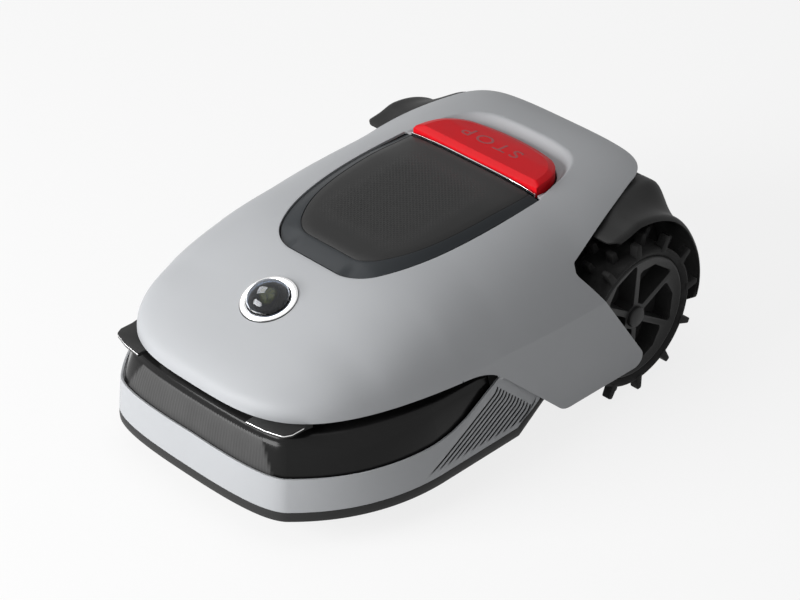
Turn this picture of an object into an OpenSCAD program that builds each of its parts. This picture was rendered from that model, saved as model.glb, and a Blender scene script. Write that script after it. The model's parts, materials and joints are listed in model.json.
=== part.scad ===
// Robotic lawn mower, in millimetres.
// The nose points to -Y, +Z is up, and the origin is on the ground under the middle of the machine.

/* [Overall] */
// Length from the bumper's nose to the back of the fenders
length = 643; // [641:1:645]
// Width over the two side wings
width = 437; // [435:1:440]
// Height of the cover's front lip above the ground
lip_z = 150; // [149:0.5:151]
// Wall of the moulded shells
wall = 3; // [2.6:0.2:3.2]

/* [Wheels] */
// Radius over the tyre's lugs
tyre_r = 104; // [103:0.5:105]
// Width of a driven tyre
tyre_w = 58; // [56:1:59]
// Lugs in each of a tyre's two rows
lug_count = 18; // [14:2:22]
// Radius of the rim
rim_r = 79; // [77:1:80]
// Spokes of the rim
spoke_count = 6; // [5:1:7]
// Radius of a front caster's wheel
caster_r = 37; // [35:1:38]

/* [Cutting unit] */
// Radius to the tips of the blades
cut_r = 110; // [106:1:112]
// Highest cutting height
cut_high = 70; // [68:1:71]
// Lowest cutting height
cut_low = 30; // [30:1:36]

/* [Front and top] */
// Slats in each side panel of the bumper
slat_count = 10; // [8:1:10]
// Gap round the lid
lid_gap = 1.2; // [1:0.1:1.6]
// Radius of the scanner's bright ring
scanner_r = 35; // [33:0.5:35.2]

/* [Hidden] */
$fn = 64;
eps = 0.01;
slip = 0.05;

// Datums of the whole machine
nose_y = -length / 2;
half_w = width / 2;
cover_nose = nose_y + 15.5;
cover_tail = length / 2 - 24.5;

// Driven wheels and fenders
wheel_y = 199;
wheel_face = 208;
wheel_in = wheel_face - tyre_w;
fender_r = length / 2 - wheel_y;
fender_face = 205;
rear_x = 134;
rear_y = 298;
tread_r = tyre_r - 14;
shaft_r = 8;

// Plan of the bumper's skirt and the heights of its bands
skirt_x = 211;
corner = [140, nose_y + 24.5];
panel_end = [207, 58];
strip_top = 48;
band_top = 90;
panel_top = 139;
window_low = 84;
window_edge = 127;
window_top = 144;

// Chassis heights
floor_z = 62;
floor_top = floor_z + wall;
tub_top = 128;
deck_z = 92;
deck_top = deck_z + wall;
rear_wall_top = 150;
post_top = 142;
posts = [[165, -120], [110, 105]];

// Casters
caster_x = 88;
caster_y = -190;
caster_trail = 24;
caster_well = 70;
caster_roof = 94;
stem_r = 8;
axle_r = 4;

// Cutting unit
rod_x = 62;
rod_r = 5;
screw_y = 50;
lift = cut_high - cut_low;
carriage_z = deck_top + lift + 3;
bridge_z = carriage_z + 36;
disc_z = cut_high + 1.5;
blade_pivot = 82;
blade_t = 1;

// Lid, stop button and control bay
hinge_y = -119;
hinge_drop = 3.2;
hinge_r = 1;
lid_rear = 131;
swing_gap = 2.4;
lid_t = 4;
stop_front = 134.5;
stop_low = 244;
stop_top = 261;
bay_tilt = 6;
bay_z = 230;
bay_depth = 30;
knob_pos = [0, -15];
button_x = 46;

// Scanner
scanner_y = -192;
scanner_tilt = 18.5;

// Point on a cubic curve through p[0] and p[3]
function curve(p, t) =
    pow(1 - t, 3) * p[0] + 3 * pow(1 - t, 2) * t * p[1] + 3 * (1 - t) * t * t * p[2] + t * t * t * p[3];
function trace(p, n, first = 0) = [for (i = [first : n]) curve(p, i / n)];
function flat(lists) = [for (list = lists) for (item = list) item];
function mirrored(half) =
    concat(half, [for (i = [len(half) - 1 : -1 : 0]) if (half[i][0] > eps) [-half[i][0], half[i][1]]]);

// Centre line of the cover, from the nose lip over the lid to the tail
spine_nose = [[cover_nose, lip_z], [cover_nose, lip_z + 22], [-276, 181], [-235, 196]];
spine_brow = [[-235, 196], [-200, 208], [-168, 220], [-128, 231]];
spine_back = [[-128, 231], [-60, 250], [70, 259], [180, 259.5]];
spine_tail = [[180, 259.5], [240, 260], [275, 257], [cover_tail, 249]];
spine = concat(trace(spine_nose, 10), trace(spine_brow, 6, 1), trace(spine_back, 8, 1), trace(spine_tail, 8, 1));
function spine_z(y) = lookup(y, spine);

// Plan of the cover's lip: a bowed nose, then a flank that swells out to the wings
function lip_bow(inset) = [
    [0, cover_nose + inset], [140 - inset, cover_nose + inset],
    [165 - inset, cover_nose + 16 + inset], [207 - inset, -71]
];
function lip_flank(inset) = [[207 - inset, -71], [211 - inset, -25], [half_w - inset, 30], [half_w - inset, 90]];
function cover_plan(inset) = concat(
    trace(lip_bow(inset), 18, 1), trace(lip_flank(inset), 5, 1),
    [for (y = [125, 160, 195, 225, 250, 272, cover_tail - inset]) [half_w - inset, y]]
);
lip_width = [for (p = cover_plan(0)) [p[1], p[0]]];

// Sections are superellipses, squarer over the nose than over the back
function shoulder(y) = lookup(y, [[-250, 4.7], [-190, 3.8]]);
function roundness(y) = lookup(y, [[-250, 2.2], [-190, 2.0], [-100, 1.65]]);
function arch(share, y) = pow(1 - pow(min(abs(share), 1), shoulder(y)), 1 / roundness(y));
function cover_z(x, y) = lip_z + (spine_z(y) - lip_z) * arch(x / lookup(y, lip_width), y);

// One closed section of the cover: the arch over the lip, then a skirt that tucks in
arch_steps = 28;
skirt_tuck = 4;
function cover_section(p, inset, low) = concat(
    [[p[0] - skirt_tuck, p[1], low]],
    [for (i = [0 : arch_steps])
        let(share = sin(90 - 180 * i / arch_steps))
        [p[0] * share, p[1], lip_z + (spine_z(p[1]) - inset - lip_z) * arch(share, p[1])]],
    [[-(p[0] - skirt_tuck), p[1], low]]
);

// Solid skinned over closed loops of equal length
module skin(loops) {
    n = len(loops[0]);
    last = len(loops) - 1;
    sides = [for (j = [0 : last - 1]) for (i = [0 : n - 1])
        let(k = (i + 1) % n, a = j * n, b = a + n)
        each [[a + i, a + k, b + k], [a + i, b + k, b + i]]];
    front = [[for (i = [n - 1 : -1 : 0]) i]];
    back = [[for (i = [0 : n - 1]) last * n + i]];
    polyhedron(points = flat(loops), faces = concat(front, sides, back), convexity = 10);
}

module cover_loft(inset, low) {
    skin([for (p = cover_plan(inset)) cover_section(p, inset, low)]);
}

// Plan limit of the cover: full width over the wings, then a tail with rounded corners
tail_corner_r = 46;
tail_corner_x = 101;
wing_rear = 215;
module cover_limit(inset) {
    linear_extrude(300) {
        translate([-half_w - 5, nose_y]) square([2 * half_w + 10, wing_rear - nose_y]);
        hull() {
            translate([-210 + inset, nose_y]) square([420 - 2 * inset, 107 - nose_y]);
            for (x = [-tail_corner_x, tail_corner_x]) translate([x, cover_tail - tail_corner_r])
                circle(tail_corner_r - inset, $fn = 32);
        }
    }
}

// Side view of the cover: the lip, the wing's slanted ends and the notch over the wheel
module cover_side() {
    rotate([90, 0, 90]) linear_extrude(width + 20, center = true)
        offset(r = 7) offset(r = -14) offset(r = 7)
        polygon([
            [-340, lip_z], [-60, lip_z], [50, 56], [68, 38], [198, 38], [210, 52],
            [108, 206], [143, 221.5], [178, 230.5], [214, 237.5], [256, 241], [340, 239], [340, 300], [-340, 300]
        ]);
}

// Plan outlines of the lid, the stop button and the finger scoop behind it
function lid_outline(inset, rear_inset) = mirrored(concat(
    [for (p = trace([[0, -128], [30, -128], [52, -124], [62, -115]], 6)) [max(p[0] - inset, 0), p[1] + inset]],
    [for (p = trace([[62, -115], [90, -90], [103, -30], [102, lid_rear]], 10, 1))
        [p[0] - inset, min(p[1] + inset, lid_rear - rear_inset)]]
));
stop_half = concat(
    [[0, stop_front], [101, stop_front]],
    trace([[101, stop_front], [100, 175], [85, 195], [60, 203]], 8, 1),
    trace([[60, 203], [40, 209], [20, 212], [0, 212]], 4, 1)
);
scoop_half = concat(
    [[0, 150], [103, 150]],
    trace([[103, 150], [104, 190], [96, 228], [70, 231]], 6, 1),
    trace([[70, 231], [45, 234], [20, 236], [0, 236]], 4, 1)
);

// Finger scoop: it falls from the cover towards the stop button's rear edge
module stop_scoop(drop) {
    hull() {
        translate([0, 0, stop_top + 2 - drop]) linear_extrude(1) polygon(mirrored(scoop_half));
        translate([0, 0, stop_low + 4 - drop]) linear_extrude(1) polygon(mirrored(stop_half));
    }
}

module at_scanner() {
    translate([0, scanner_y, spine_z(scanner_y)]) rotate([scanner_tilt, 0, 0]) children();
}
module at_bay() {
    translate([0, 0, bay_z]) rotate([bay_tilt, 0, 0]) children();
}
module on_side(side) {
    mirror([side < 0 ? 1 : 0, 0, 0]) children();
}

// Boss with two gussets that carries the cover on a chassis post
module cover_boss(p) {
    translate([p[0], p[1], post_top]) {
        cylinder(r = 7, h = 110, $fn = 32);
        for (turn = [45, 135]) rotate(turn) hull() {
            translate([-15, -1.2, 24]) cube([30, 2.4, 80]);
            translate([-6, -1.2, 0]) cube([12, 2.4, 1]);
        }
    }
}

module cover_outer() {
    difference() {
        intersection() {
            cover_loft(0, 34);
            cover_limit(0);
        }
        stop_scoop(0);
    }
}
module cover_inner() {
    difference() {
        intersection() {
            cover_loft(wall, 30);
            cover_limit(wall);
        }
        stop_scoop(wall);
    }
}
module top_cover() {
    color("silver") difference() {
        intersection() {
            union() {
                difference() {
                    cover_outer();
                    cover_inner();
                }
                intersection() {
                    cover_outer();
                    for (side = [-1, 1]) on_side(side) for (p = posts) cover_boss(p);
                }
            }
            cover_side();
        }
        translate([0, 0, 200]) linear_extrude(100) {
            offset(delta = lid_gap) polygon(lid_outline(0, 0));
            offset(delta = lid_gap) polygon(mirrored(stop_half));
            translate([0, -swing_gap]) intersection() {
                offset(delta = lid_gap) polygon(lid_outline(0, 0));
                translate([-90, -140]) square([180, 45]);
            }
        }
        at_scanner() translate([0, 0, -60]) cylinder(r = scanner_r + 0.6, h = 120);
        translate([-101 - lid_gap, 120, 200]) cube([202 + 2 * lid_gap, 20, 100]);
    }
}

// Plate that follows the cover's crown between two depths, as rings that shrink to a point
lid_centre = [0, 20];
plate_rings = [0.03, 0.25, 0.5, 0.75, 1];
function shrunk(outline, share) = [for (p = outline) lid_centre + (p - lid_centre) * share];
function crown_ring(outline, share, depth) =
    [for (p = shrunk(outline, share)) [p[0], p[1], cover_z(p[0], p[1]) - depth]];
module crown_plate(outline, top, bottom) {
    last = len(plate_rings) - 1;
    skin(concat(
        [for (share = plate_rings) crown_ring(outline, share, top)],
        [for (i = [last : -1 : 0]) crown_ring(outline, plate_rings[i], bottom)]
    ));
}

// Lid with ribs below, a recess for the inset panel and two hinge knuckles
panel_inset = 11;
panel_depth = 1.6;
hinge_z = cover_z(0, hinge_y) - hinge_drop;
knuckle_x = 24;
ear_x = 31;
module lid_ribs() {
    for (y = [-90 : 30 : 120]) hull() {
        for (x = [-70, 70]) translate([x * lookup(y, [[-90, 0.8], [0, 1.15]]), y, 200]) cylinder(r = 1.2, h = 80, $fn = 12);
    }
}
module lid_shell() {
    color("dimgray") difference() {
        union() {
            crown_plate(lid_outline(0, 0), 0, lid_t);
            intersection() {
                lid_ribs();
                crown_plate(lid_outline(8, 8), lid_t - 1, lid_t + 3);
            }
            for (x = [-knuckle_x, knuckle_x]) translate([x - 4, hinge_y, hinge_z]) rotate([0, 90, 0])
                cylinder(r = 2.4, h = 8, $fn = 24);
        }
        crown_plate(lid_outline(panel_inset - 0.2, panel_inset - 7.2), -5, panel_depth);
        for (x = [-ear_x, ear_x]) translate([x, 0, 0]) rotate([90, 0, 90]) linear_extrude(4.8, center = true) polygon([
            [hinge_y + 6, 200], [hinge_y + 6, hinge_z + 2.4], [hinge_y, hinge_z + 2.4],
            [hinge_y - 12, hinge_z - 1.6], [hinge_y - 12, 200]
        ]);
        for (x = [-knuckle_x, knuckle_x]) translate([x - 5, hinge_y, hinge_z]) rotate([0, 90, 0])
            cylinder(r = hinge_r, h = 10, $fn = 24);
    }
}
module lid_panel() {
    color("gray") crown_plate(lid_outline(panel_inset, panel_inset - 7), 0.3, panel_depth - 0.1);
}
module lid_pins() {
    color("lightgray") for (side = [-1, 1]) on_side(side) translate([knuckle_x - 4, hinge_y, hinge_z]) rotate([0, 90, 0])
        cylinder(r = hinge_r, h = 13);
}

// Control bay: a tilted tray on four legs, with ears for the lid's pins
module control_tray() {
    color("black") {
        at_bay() difference() {
            translate([0, 0, -bay_depth]) linear_extrude(bay_depth) polygon(lid_outline(4, -1));
            translate([0, 0, -bay_depth + 2.5]) linear_extrude(bay_depth) polygon(lid_outline(6.5, 1.5));
        }
        for (x = [-ear_x, ear_x]) difference() {
            union() {
                translate([x - 1.8, hinge_y - 2.1, hinge_z - 20]) cube([3.6, 4.2, 20]);
                translate([x - 1.8, hinge_y, hinge_z]) rotate([0, 90, 0]) cylinder(r = 2.1, h = 3.6);
            }
            translate([x - 5, hinge_y, hinge_z]) rotate([0, 90, 0]) cylinder(r = hinge_r + slip, h = 10);
        }
        for (x = [-90, 90], y = [-50, 50]) translate([x, y, deck_top])
            cylinder(r = 5, h = bay_z - bay_depth * cos(bay_tilt) + y * sin(bay_tilt) + 1 - deck_top);
    }
}
module tray_seal() {
    color("black") difference() {
        at_bay() linear_extrude(3) difference() {
            polygon(lid_outline(4, 1.5));
            polygon(lid_outline(6.5, 3.5));
        }
        for (x = [-ear_x, ear_x]) translate([x - 2.4, hinge_y - 8, 200]) cube([4.8, 16, 40]);
    }
}
panel_top_z = -16;
module control_panel() {
    color("dimgray") at_bay() difference() {
        translate([0, 0, -bay_depth + 2.5]) linear_extrude(bay_depth - 2.5 + panel_top_z) polygon(lid_outline(7, 2));
        translate([knob_pos[0], knob_pos[1], panel_top_z - 9]) cylinder(r = 4 + slip, h = 20);
        for (x = [-button_x, button_x]) translate([x, knob_pos[1], panel_top_z - 9]) cylinder(r = 9 + slip, h = 20);
        translate([-34, 44, panel_top_z - 2]) cube([68, 38, 10]);
    }
}
module display_glass() {
    color("black") at_bay() translate([-33.7, 44.3, panel_top_z - 2]) cube([67.4, 37.4, 1.8]);
}
module menu_knob() {
    color("silver") at_bay() translate([knob_pos[0], knob_pos[1], panel_top_z]) {
        translate([0, 0, -8]) cylinder(r = 4, h = 9);
        translate([0, 0, 0.3]) rotate_extrude() polygon([[0, 0], [16, 0], [17, 2], [16.2, 9.5], [14.5, 11], [0, 10.4]]);
    }
}
module bay_button(x) {
    at_bay() translate([x, knob_pos[1], panel_top_z - 7]) rotate_extrude() polygon([[0, 0], [9, 0], [9, 9], [8.2, 10], [0, 9.6]]);
}
module start_button() {
    color("seagreen") bay_button(button_x);
}
module home_button() {
    color("gainsboro") bay_button(-button_x);
}

// Stop button: a D in plan with a bevelled front and a top that falls to the rear
module stop_button() {
    color("red") intersection() {
        translate([0, 0, 200]) linear_extrude(100) polygon(mirrored(stop_half));
        rotate([90, 0, 90]) linear_extrude(width, center = true) polygon([
            [stop_front, stop_low], [stop_front, 252], [139, 259.5], [143, stop_top], [170, 260.4], [195, 258], [214, 254.5],
            [214, stop_low]
        ]);
    }
}
module stop_trim() {
    color("white") translate([0, lid_rear + 2.4, 0]) rotate([90, 0, 0]) linear_extrude(1.4) polygon(concat(
        [for (x = [-101 : 10.1 : 101.1]) [x, cover_z(x, lid_rear)]], [[101, 238], [-101, 238]]
    ));
}

// Return spring of the stop button, a round wire on a helix
spring_r = 9;
spring_wire = 0.7;
spring_turns = 3.5;
module stop_spring() {
    low = 234 + spring_wire + 0.05;
    rise = stop_low - 234 - 2 * spring_wire - 0.1;
    steps = 56;
    color("gray") translate([0, 175, low]) skin([for (i = [0 : steps])
        let(turn = 360 * spring_turns * i / steps)
        [for (k = [0 : 5])
            let(r = spring_r + spring_wire * cos(60 * k))
            [r * cos(turn), r * sin(turn), rise * i / steps + spring_wire * sin(60 * k)]]]);
}

// Scanner: a seat, a bevelled ring, a clear dome and a turning core
module scanner_base() {
    color("black") at_scanner() difference() {
        translate([0, 0, -34]) cylinder(r = scanner_r - 1, h = 31);
        translate([0, 0, -20]) cylinder(r = 21, h = 30);
        translate([0, 0, -30]) cylinder(r = 5 + slip, h = 30);
    }
}
module scanner_ring() {
    color("white") at_scanner() rotate_extrude() polygon([
        [25.6, -3], [scanner_r, -3], [scanner_r, 0.6], [scanner_r - 1.4, 2], [27.2, 5], [25.6, 4.4]
    ]);
}
dome_r = 25.2;
dome_h = 12;
module scanner_dome() {
    arc = [for (a = [0 : 10 : 90]) [cos(a), sin(a)]];
    color("black") at_scanner() translate([0, 0, -3]) rotate_extrude() polygon(concat(
        [for (p = arc) [dome_r * p[0], 5 + dome_h * p[1]]],
        [for (i = [9 : -1 : 0]) [(dome_r - 1.6) * arc[i][0], 5 + (dome_h - 1.6) * arc[i][1]]],
        [[dome_r - 1.6, 0], [dome_r, 0]]
    ));
}
module scanner_core() {
    color("olive") at_scanner() {
        translate([0, 0, -28]) cylinder(r = 5, h = 10);
        difference() {
            translate([0, 0, -19]) cylinder(r = 15, h = 27);
            translate([0, -9, 1]) rotate([35, 0, 0]) translate([-20, -20, 0]) cube([40, 40, 20]);
        }
    }
}

// Plan of the bumper's skirt at a given inset: nose, corner and side follow each other as s goes 0 to 3
function skirt_nose(i) = [[0, nose_y + i], [60 - i / 4, nose_y + i], [118 - i / 2, nose_y + 3.5 + i], corner + [-0.7, 0.7] * i];
function skirt_turn(i) = [corner + [-0.7, 0.7] * i, [178 - 0.9 * i, nose_y + 62.5 + 0.6 * i], [skirt_x - i, -210], [skirt_x - i, -130]];
function skirt(s, i) =
    s < 1 ? curve(skirt_nose(i), s) :
    s < 2 ? curve(skirt_turn(i), s - 1) :
    [skirt_x - i, -130] + (s - 2) * (panel_end - [skirt_x, -130]);
function skirt_steps(last) = [for (i = [0 : 24 * last / 3]) 3 * i / 24];

// How far the band leans in, and the heights that it runs between
function lean(s) = lookup(s, [[0, 7], [1.5, 2], [2, 3], [2.5, 7], [3, 4]]);
function band_low(y) = lookup(y, [[2, strip_top], [44, 66], [58, 72]]);
function band_high(y) = lookup(y, [[-150, band_top], [-118, 96], [-38, panel_top - 2], [-30, panel_top], [-20, panel_top - 4], [58, 78]]);
function place(p, z) = [p[0], p[1], z];
function flip(loops) = [for (i = [len(loops) - 1 : -1 : 1]) [for (j = [0 : len(loops[i]) - 1]) [-loops[i][j][0], loops[i][j][1], loops[i][j][2]]]];
function both_sides(half) = concat(flip(half), half);

function band_loop(s) =
    let(y = skirt(s, 0)[1], low = band_low(y), high = band_high(y))
    [place(skirt(s, 0), low), place(skirt(s, lean(s)), high), place(skirt(s, lean(s) + wall), high), place(skirt(s, wall), low)];
function strip_loop(s) =
    let(top = band_low(skirt(s, 0)[1]))
    [place(skirt(s, 1), top - 12), place(skirt(s, 0), top - 9), place(skirt(s, 0), top), place(skirt(s, 6), top), place(skirt(s, 6), top - 12)];
function window_loop(s) =
    let(edge = lookup(s, [[1, 17.5], [2, 13]]), low = lean(s) + 3.6)
    [place(skirt(s, low), window_low), place(skirt(s, edge), window_edge),
     place(skirt(s, edge + 18), window_top - 4), place(skirt(s, edge + 24), window_top),
     place(skirt(s, edge + 24 + wall), window_top), place(skirt(s, edge + 19), window_top - 7),
     place(skirt(s, edge + wall), window_edge - 2), place(skirt(s, low + wall), window_low)];

// Slots between the side slats: straight runs that turn up at their top ends
slat_pitch = 7.4;
slat_w = 3.4;
slat_rise = 35;
module slat_slots() {
    for (i = [0 : slat_count - 1]) {
        top = [-42 + i * slat_pitch * cos(44) * 0.98, 121 - i * slat_pitch * sin(44) * 0.98];
        reach = min((top[1] - 54) / sin(slat_rise), 118 - 2 * i);
        foot = top - reach * [cos(slat_rise), sin(slat_rise)];
        tip = top + 6 * [cos(75), sin(75)];
        rotate([90, 0, 90]) linear_extrude(40) {
            hull() {
                translate(foot) circle(d = slat_w * 0.6, $fn = 12);
                translate(top) circle(d = slat_w, $fn = 12);
            }
            hull() {
                translate(top) circle(d = slat_w, $fn = 12);
                translate(tip) circle(d = slat_w * 0.8, $fn = 12);
            }
        }
    }
}
module bumper_band() {
    color("silver") difference() {
        skin(both_sides([for (s = skirt_steps(3)) band_loop(s)]));
        for (side = [-1, 1]) on_side(side) translate([skirt_x - 40, 0, 0]) slat_slots();
    }
}
module bumper_strip() {
    color("dimgray") skin(both_sides([for (s = skirt_steps(3)) strip_loop(s)]));
}
module bumper_window() {
    color("black") skin(both_sides([for (s = skirt_steps(2.5)) window_loop(s)]));
}
pin_x = 45;
pin_z = 75;
pin_r = 4;
module bumper_pins() {
    color("gray") for (x = [-pin_x, pin_x]) translate([x, nose_y + 9, pin_z]) rotate([-90, 0, 0]) cylinder(r = pin_r, h = 47);
}

// Plan of the chassis tub: it follows the skirt, then steps in behind the blade well for the wheels
function tub_inset(s) = lookup(s, [[1, 34], [2, 27]]);
function tub_outline(inset) = mirrored(concat(
    [for (s = [0 : 0.125 : 2.875]) skirt(s, tub_inset(s) + inset)],
    [[181 - inset, 62 - inset], [rear_x - inset, 84 - inset], [rear_x - inset, rear_y - inset]],
    [[0, rear_y - inset]]
));
module caster_places() {
    for (side = [-1, 1]) translate([side * caster_x, caster_y, 0]) children();
}
module chassis_tub() {
    color("black") difference() {
        union() {
            difference() {
                union() {
                    translate([0, 0, floor_z]) linear_extrude(tub_top - floor_z) polygon(tub_outline(0));
                    translate([-rear_x, 84, floor_z]) cube([2 * rear_x, rear_y - 84, rear_wall_top - floor_z]);
                }
                translate([0, 0, floor_top]) linear_extrude(100) polygon(tub_outline(wall));
            }
            translate([0, 0, floor_z]) cylinder(r = 129, h = deck_top - floor_z);
            caster_places() {
                translate([0, 0, floor_z]) cylinder(r = caster_well + wall, h = caster_roof + wall - floor_z);
                translate([0, 0, caster_roof]) cylinder(r = 15, h = 42);
            }
            for (x = [-pin_x, pin_x]) translate([x, nose_y + 33, pin_z]) rotate([-90, 0, 0]) cylinder(r = 8, h = 24);
            for (side = [-1, 1]) on_side(side) for (p = posts) translate([p[0], p[1], floor_z]) cylinder(r = 6, h = post_top - floor_z);
        }
        translate([0, 0, floor_z - 1]) cylinder(r = 126, h = deck_z - floor_z + 1);
        cylinder(r = 42, h = 120);
        translate([0, screw_y, 0]) cylinder(r = rod_r + slip, h = 120);
        caster_places() {
            translate([0, 0, floor_z - 1]) cylinder(r = caster_well, h = caster_roof - floor_z + 1);
            cylinder(r = stem_r + slip, h = 200);
        }
        for (x = [-pin_x, pin_x]) translate([x, nose_y + 20, pin_z]) rotate([-90, 0, 0]) cylinder(r = pin_r + slip, h = 60);
        translate([-54, 142, floor_z - 1]) cube([108, 146, 10]);
        translate([-200, wheel_y, tyre_r]) rotate([0, 90, 0]) cylinder(r = 14, h = 400);
    }
}

module battery_pack() {
    color("darkslategray") {
        translate([-52, 144, floor_top - 1]) cube([104, 142, 60]);
        for (x = [-34, 14]) translate([x, 160, floor_top + 59]) cube([20, 110, 3]);
    }
}
module battery_cover() {
    color("black") difference() {
        translate([-60, 137, floor_z - 3.4]) cube([120, 156, 3.4]);
        for (y = [158 : 12 : 206]) translate([-40, y, floor_z - 4]) cube([80, 5, 1.6]);
        for (x = [-52, 52], y = [146, 284]) translate([x, y, floor_z - 4]) cylinder(r = 3.5, h = 2);
    }
}
module main_board() {
    color("darkgreen") {
        translate([-50, 150, 141]) cube([100, 130, 1.6]);
        translate([-30, 165, 142.6]) cube([28, 28, 3]);
        translate([8, 160, 142.6]) cube([30, 18, 6]);
        for (y = [205 : 18 : 260]) translate([20, y, 142.6]) cylinder(r = 6, h = 12);
        for (x = [-42, 42], y = [158, 272]) translate([x, y, floor_top + 59]) cylinder(r = 3, h = 141 - floor_top - 59);
    }
}

// Rear housing between the fenders, with vent slots in its back
housing_front = 140;
housing_top = 234;
module rear_housing() {
    color("black") difference() {
        translate([-rear_x, housing_front, rear_wall_top]) cube([2 * rear_x, rear_y - housing_front, housing_top - rear_wall_top]);
        translate([-rear_x + wall, housing_front - 1, rear_wall_top - 1])
            cube([2 * (rear_x - wall), rear_y - housing_front + 1 - wall, housing_top - rear_wall_top + 1 - wall]);
        for (z = [168 : 9 : 204]) translate([-60, rear_y - 10, z]) cube([120, 20, 4]);
    }
}

// Fender: it flares from the housing to a lip on a circle about the wheel's axle
fender_front = 107;
fender_back = -12;
function housing_reach(a) = pow(pow(abs(cos(a)) / (rear_y - wheel_y), 5) + pow(abs(sin(a)) / (housing_top - tyre_r), 5), -1 / 5);
function fender_point(a, u, depth) =
    let(r = fender_r + pow(u, 2.2) * (housing_reach(a) - fender_r) - depth)
    [fender_face - u * (fender_face - rear_x), wheel_y + r * cos(a), tyre_r + r * sin(a)];
function fender_loop(a) = concat(
    [for (i = [0 : 8]) fender_point(a, i / 8, 0)], [for (i = [8 : -1 : 0]) fender_point(a, i / 8, wall)]
);
module fender() {
    steps = 20;
    color("black") skin([for (i = [0 : steps]) fender_loop(fender_front + (fender_back - fender_front) * i / steps)]);
}
module fender_left() {
    fender();
}
module fender_right() {
    on_side(-1) fender();
}

// Charging contacts: a plate clamped under the cover's lip, with a metal strip on its front edge
shelf_front = [[91, -309.5], [137, -301.5]];
module contact_shelf() {
    color("black") translate([0, 0, lip_z - 5]) linear_extrude(5)
        polygon([shelf_front[0], shelf_front[1], [148, -276], [146, -262], [118, -270], [90, -288]]);
}
module contact_strip() {
    run = shelf_front[1] - shelf_front[0];
    color("lightgray") translate([shelf_front[0][0], shelf_front[0][1], lip_z - 4]) rotate(atan2(run[1], run[0]))
        translate([2, -1, 0]) cube([norm(run) - 4, 1, 3]);
}
module contact_shelf_left() {
    contact_shelf();
}
module contact_shelf_right() {
    on_side(-1) contact_shelf();
}
module contact_strip_left() {
    contact_strip();
}
module contact_strip_right() {
    on_side(-1) contact_strip();
}

// Driven wheels, drawn with the axle along +Z and the outer face at the top
module at_wheel(side) {
    on_side(side) translate([wheel_in, wheel_y, tyre_r]) rotate([0, 90, 0]) children();
}
module lug_row(low, turn) {
    for (i = [0 : lug_count - 1]) rotate(turn + 360 * i / lug_count) translate([0, 0, low]) linear_extrude(tyre_w / 2 - 1)
        polygon([[tread_r - 6, -6], [tyre_r - 2, -4.2], [tyre_r, -2.6], [tyre_r, 2.6], [tyre_r - 2, 4.2], [tread_r - 6, 6]]);
}
module tyre() {
    color("black") union() {
        rotate_extrude() polygon([
            [rim_r, 5], [tread_r - 4, 0], [tread_r - 0.8, 4], [tread_r, tyre_w / 2], [tread_r - 0.8, tyre_w - 4],
            [tread_r - 4, tyre_w], [rim_r, tyre_w - 5]
        ]);
        lug_row(tyre_w / 2 + 1, 0);
        lug_row(0, 180 / lug_count);
    }
}
hub_r = 24;
rim_face = 50;
module spoke_pockets() {
    step = 360 / spoke_count;
    for (i = [0 : spoke_count - 1]) rotate(step * (i + 0.5)) translate([0, 0, 26]) linear_extrude(40) polygon([
        [hub_r + 6, -5], [63 * cos(step / 2 - 9), -63 * sin(step / 2 - 9)], [68, -10], [68, 14],
        [63 * cos(step / 2 - 12), 63 * sin(step / 2 - 12)], [hub_r + 6, 6]
    ]);
}
module rim() {
    color("dimgray") difference() {
        union() {
            rotate_extrude() polygon([
                [shaft_r, 20], [72, 20], [72, 6], [rim_r, 5], [rim_r, tyre_w - 5], [rim_r - 3, tyre_w - 3], [70, rim_face + 3],
                [hub_r + 4, rim_face - 2], [hub_r, rim_face + 1], [15, rim_face + 2], [shaft_r, rim_face + 2]
            ]);
            translate([0, 0, 8]) cylinder(r = 16, h = 20);
        }
        spoke_pockets();
        cylinder(r = shaft_r, h = 80);
    }
}
module hub_cap() {
    color("black") translate([0, 0, rim_face + 2]) rotate_extrude() polygon([[0, 0], [14, 0], [14, 2], [12, 4], [0, 5]]);
}
module wheel_shaft() {
    color("lightgray") translate([0, 0, 104 - wheel_in]) cylinder(r = shaft_r, h = wheel_in + rim_face + 1 - 104);
}
module tyre_left() {
    at_wheel(1) tyre();
}
module tyre_right() {
    at_wheel(-1) tyre();
}
module rim_left() {
    at_wheel(1) rim();
}
module rim_right() {
    at_wheel(-1) rim();
}
module hub_cap_left() {
    at_wheel(1) hub_cap();
}
module hub_cap_right() {
    at_wheel(-1) hub_cap();
}
module wheel_shaft_left() {
    at_wheel(1) wheel_shaft();
}
module wheel_shaft_right() {
    at_wheel(-1) wheel_shaft();
}

// Geared motor with a foot on the tub's floor
module drive_motor() {
    color("slategray") difference() {
        union() {
            translate([58, wheel_y, tyre_r]) rotate([0, 90, 0]) cylinder(r = 30, h = 54);
            translate([108, wheel_y, tyre_r]) rotate([0, 90, 0]) cylinder(r = 36, h = 22);
            translate([64, wheel_y - 24, floor_top]) cube([60, 48, 18]);
        }
        translate([102, wheel_y, tyre_r]) rotate([0, 90, 0]) cylinder(r = shaft_r + slip, h = 60);
    }
}
module drive_motor_left() {
    drive_motor();
}
module drive_motor_right() {
    on_side(-1) drive_motor();
}

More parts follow.
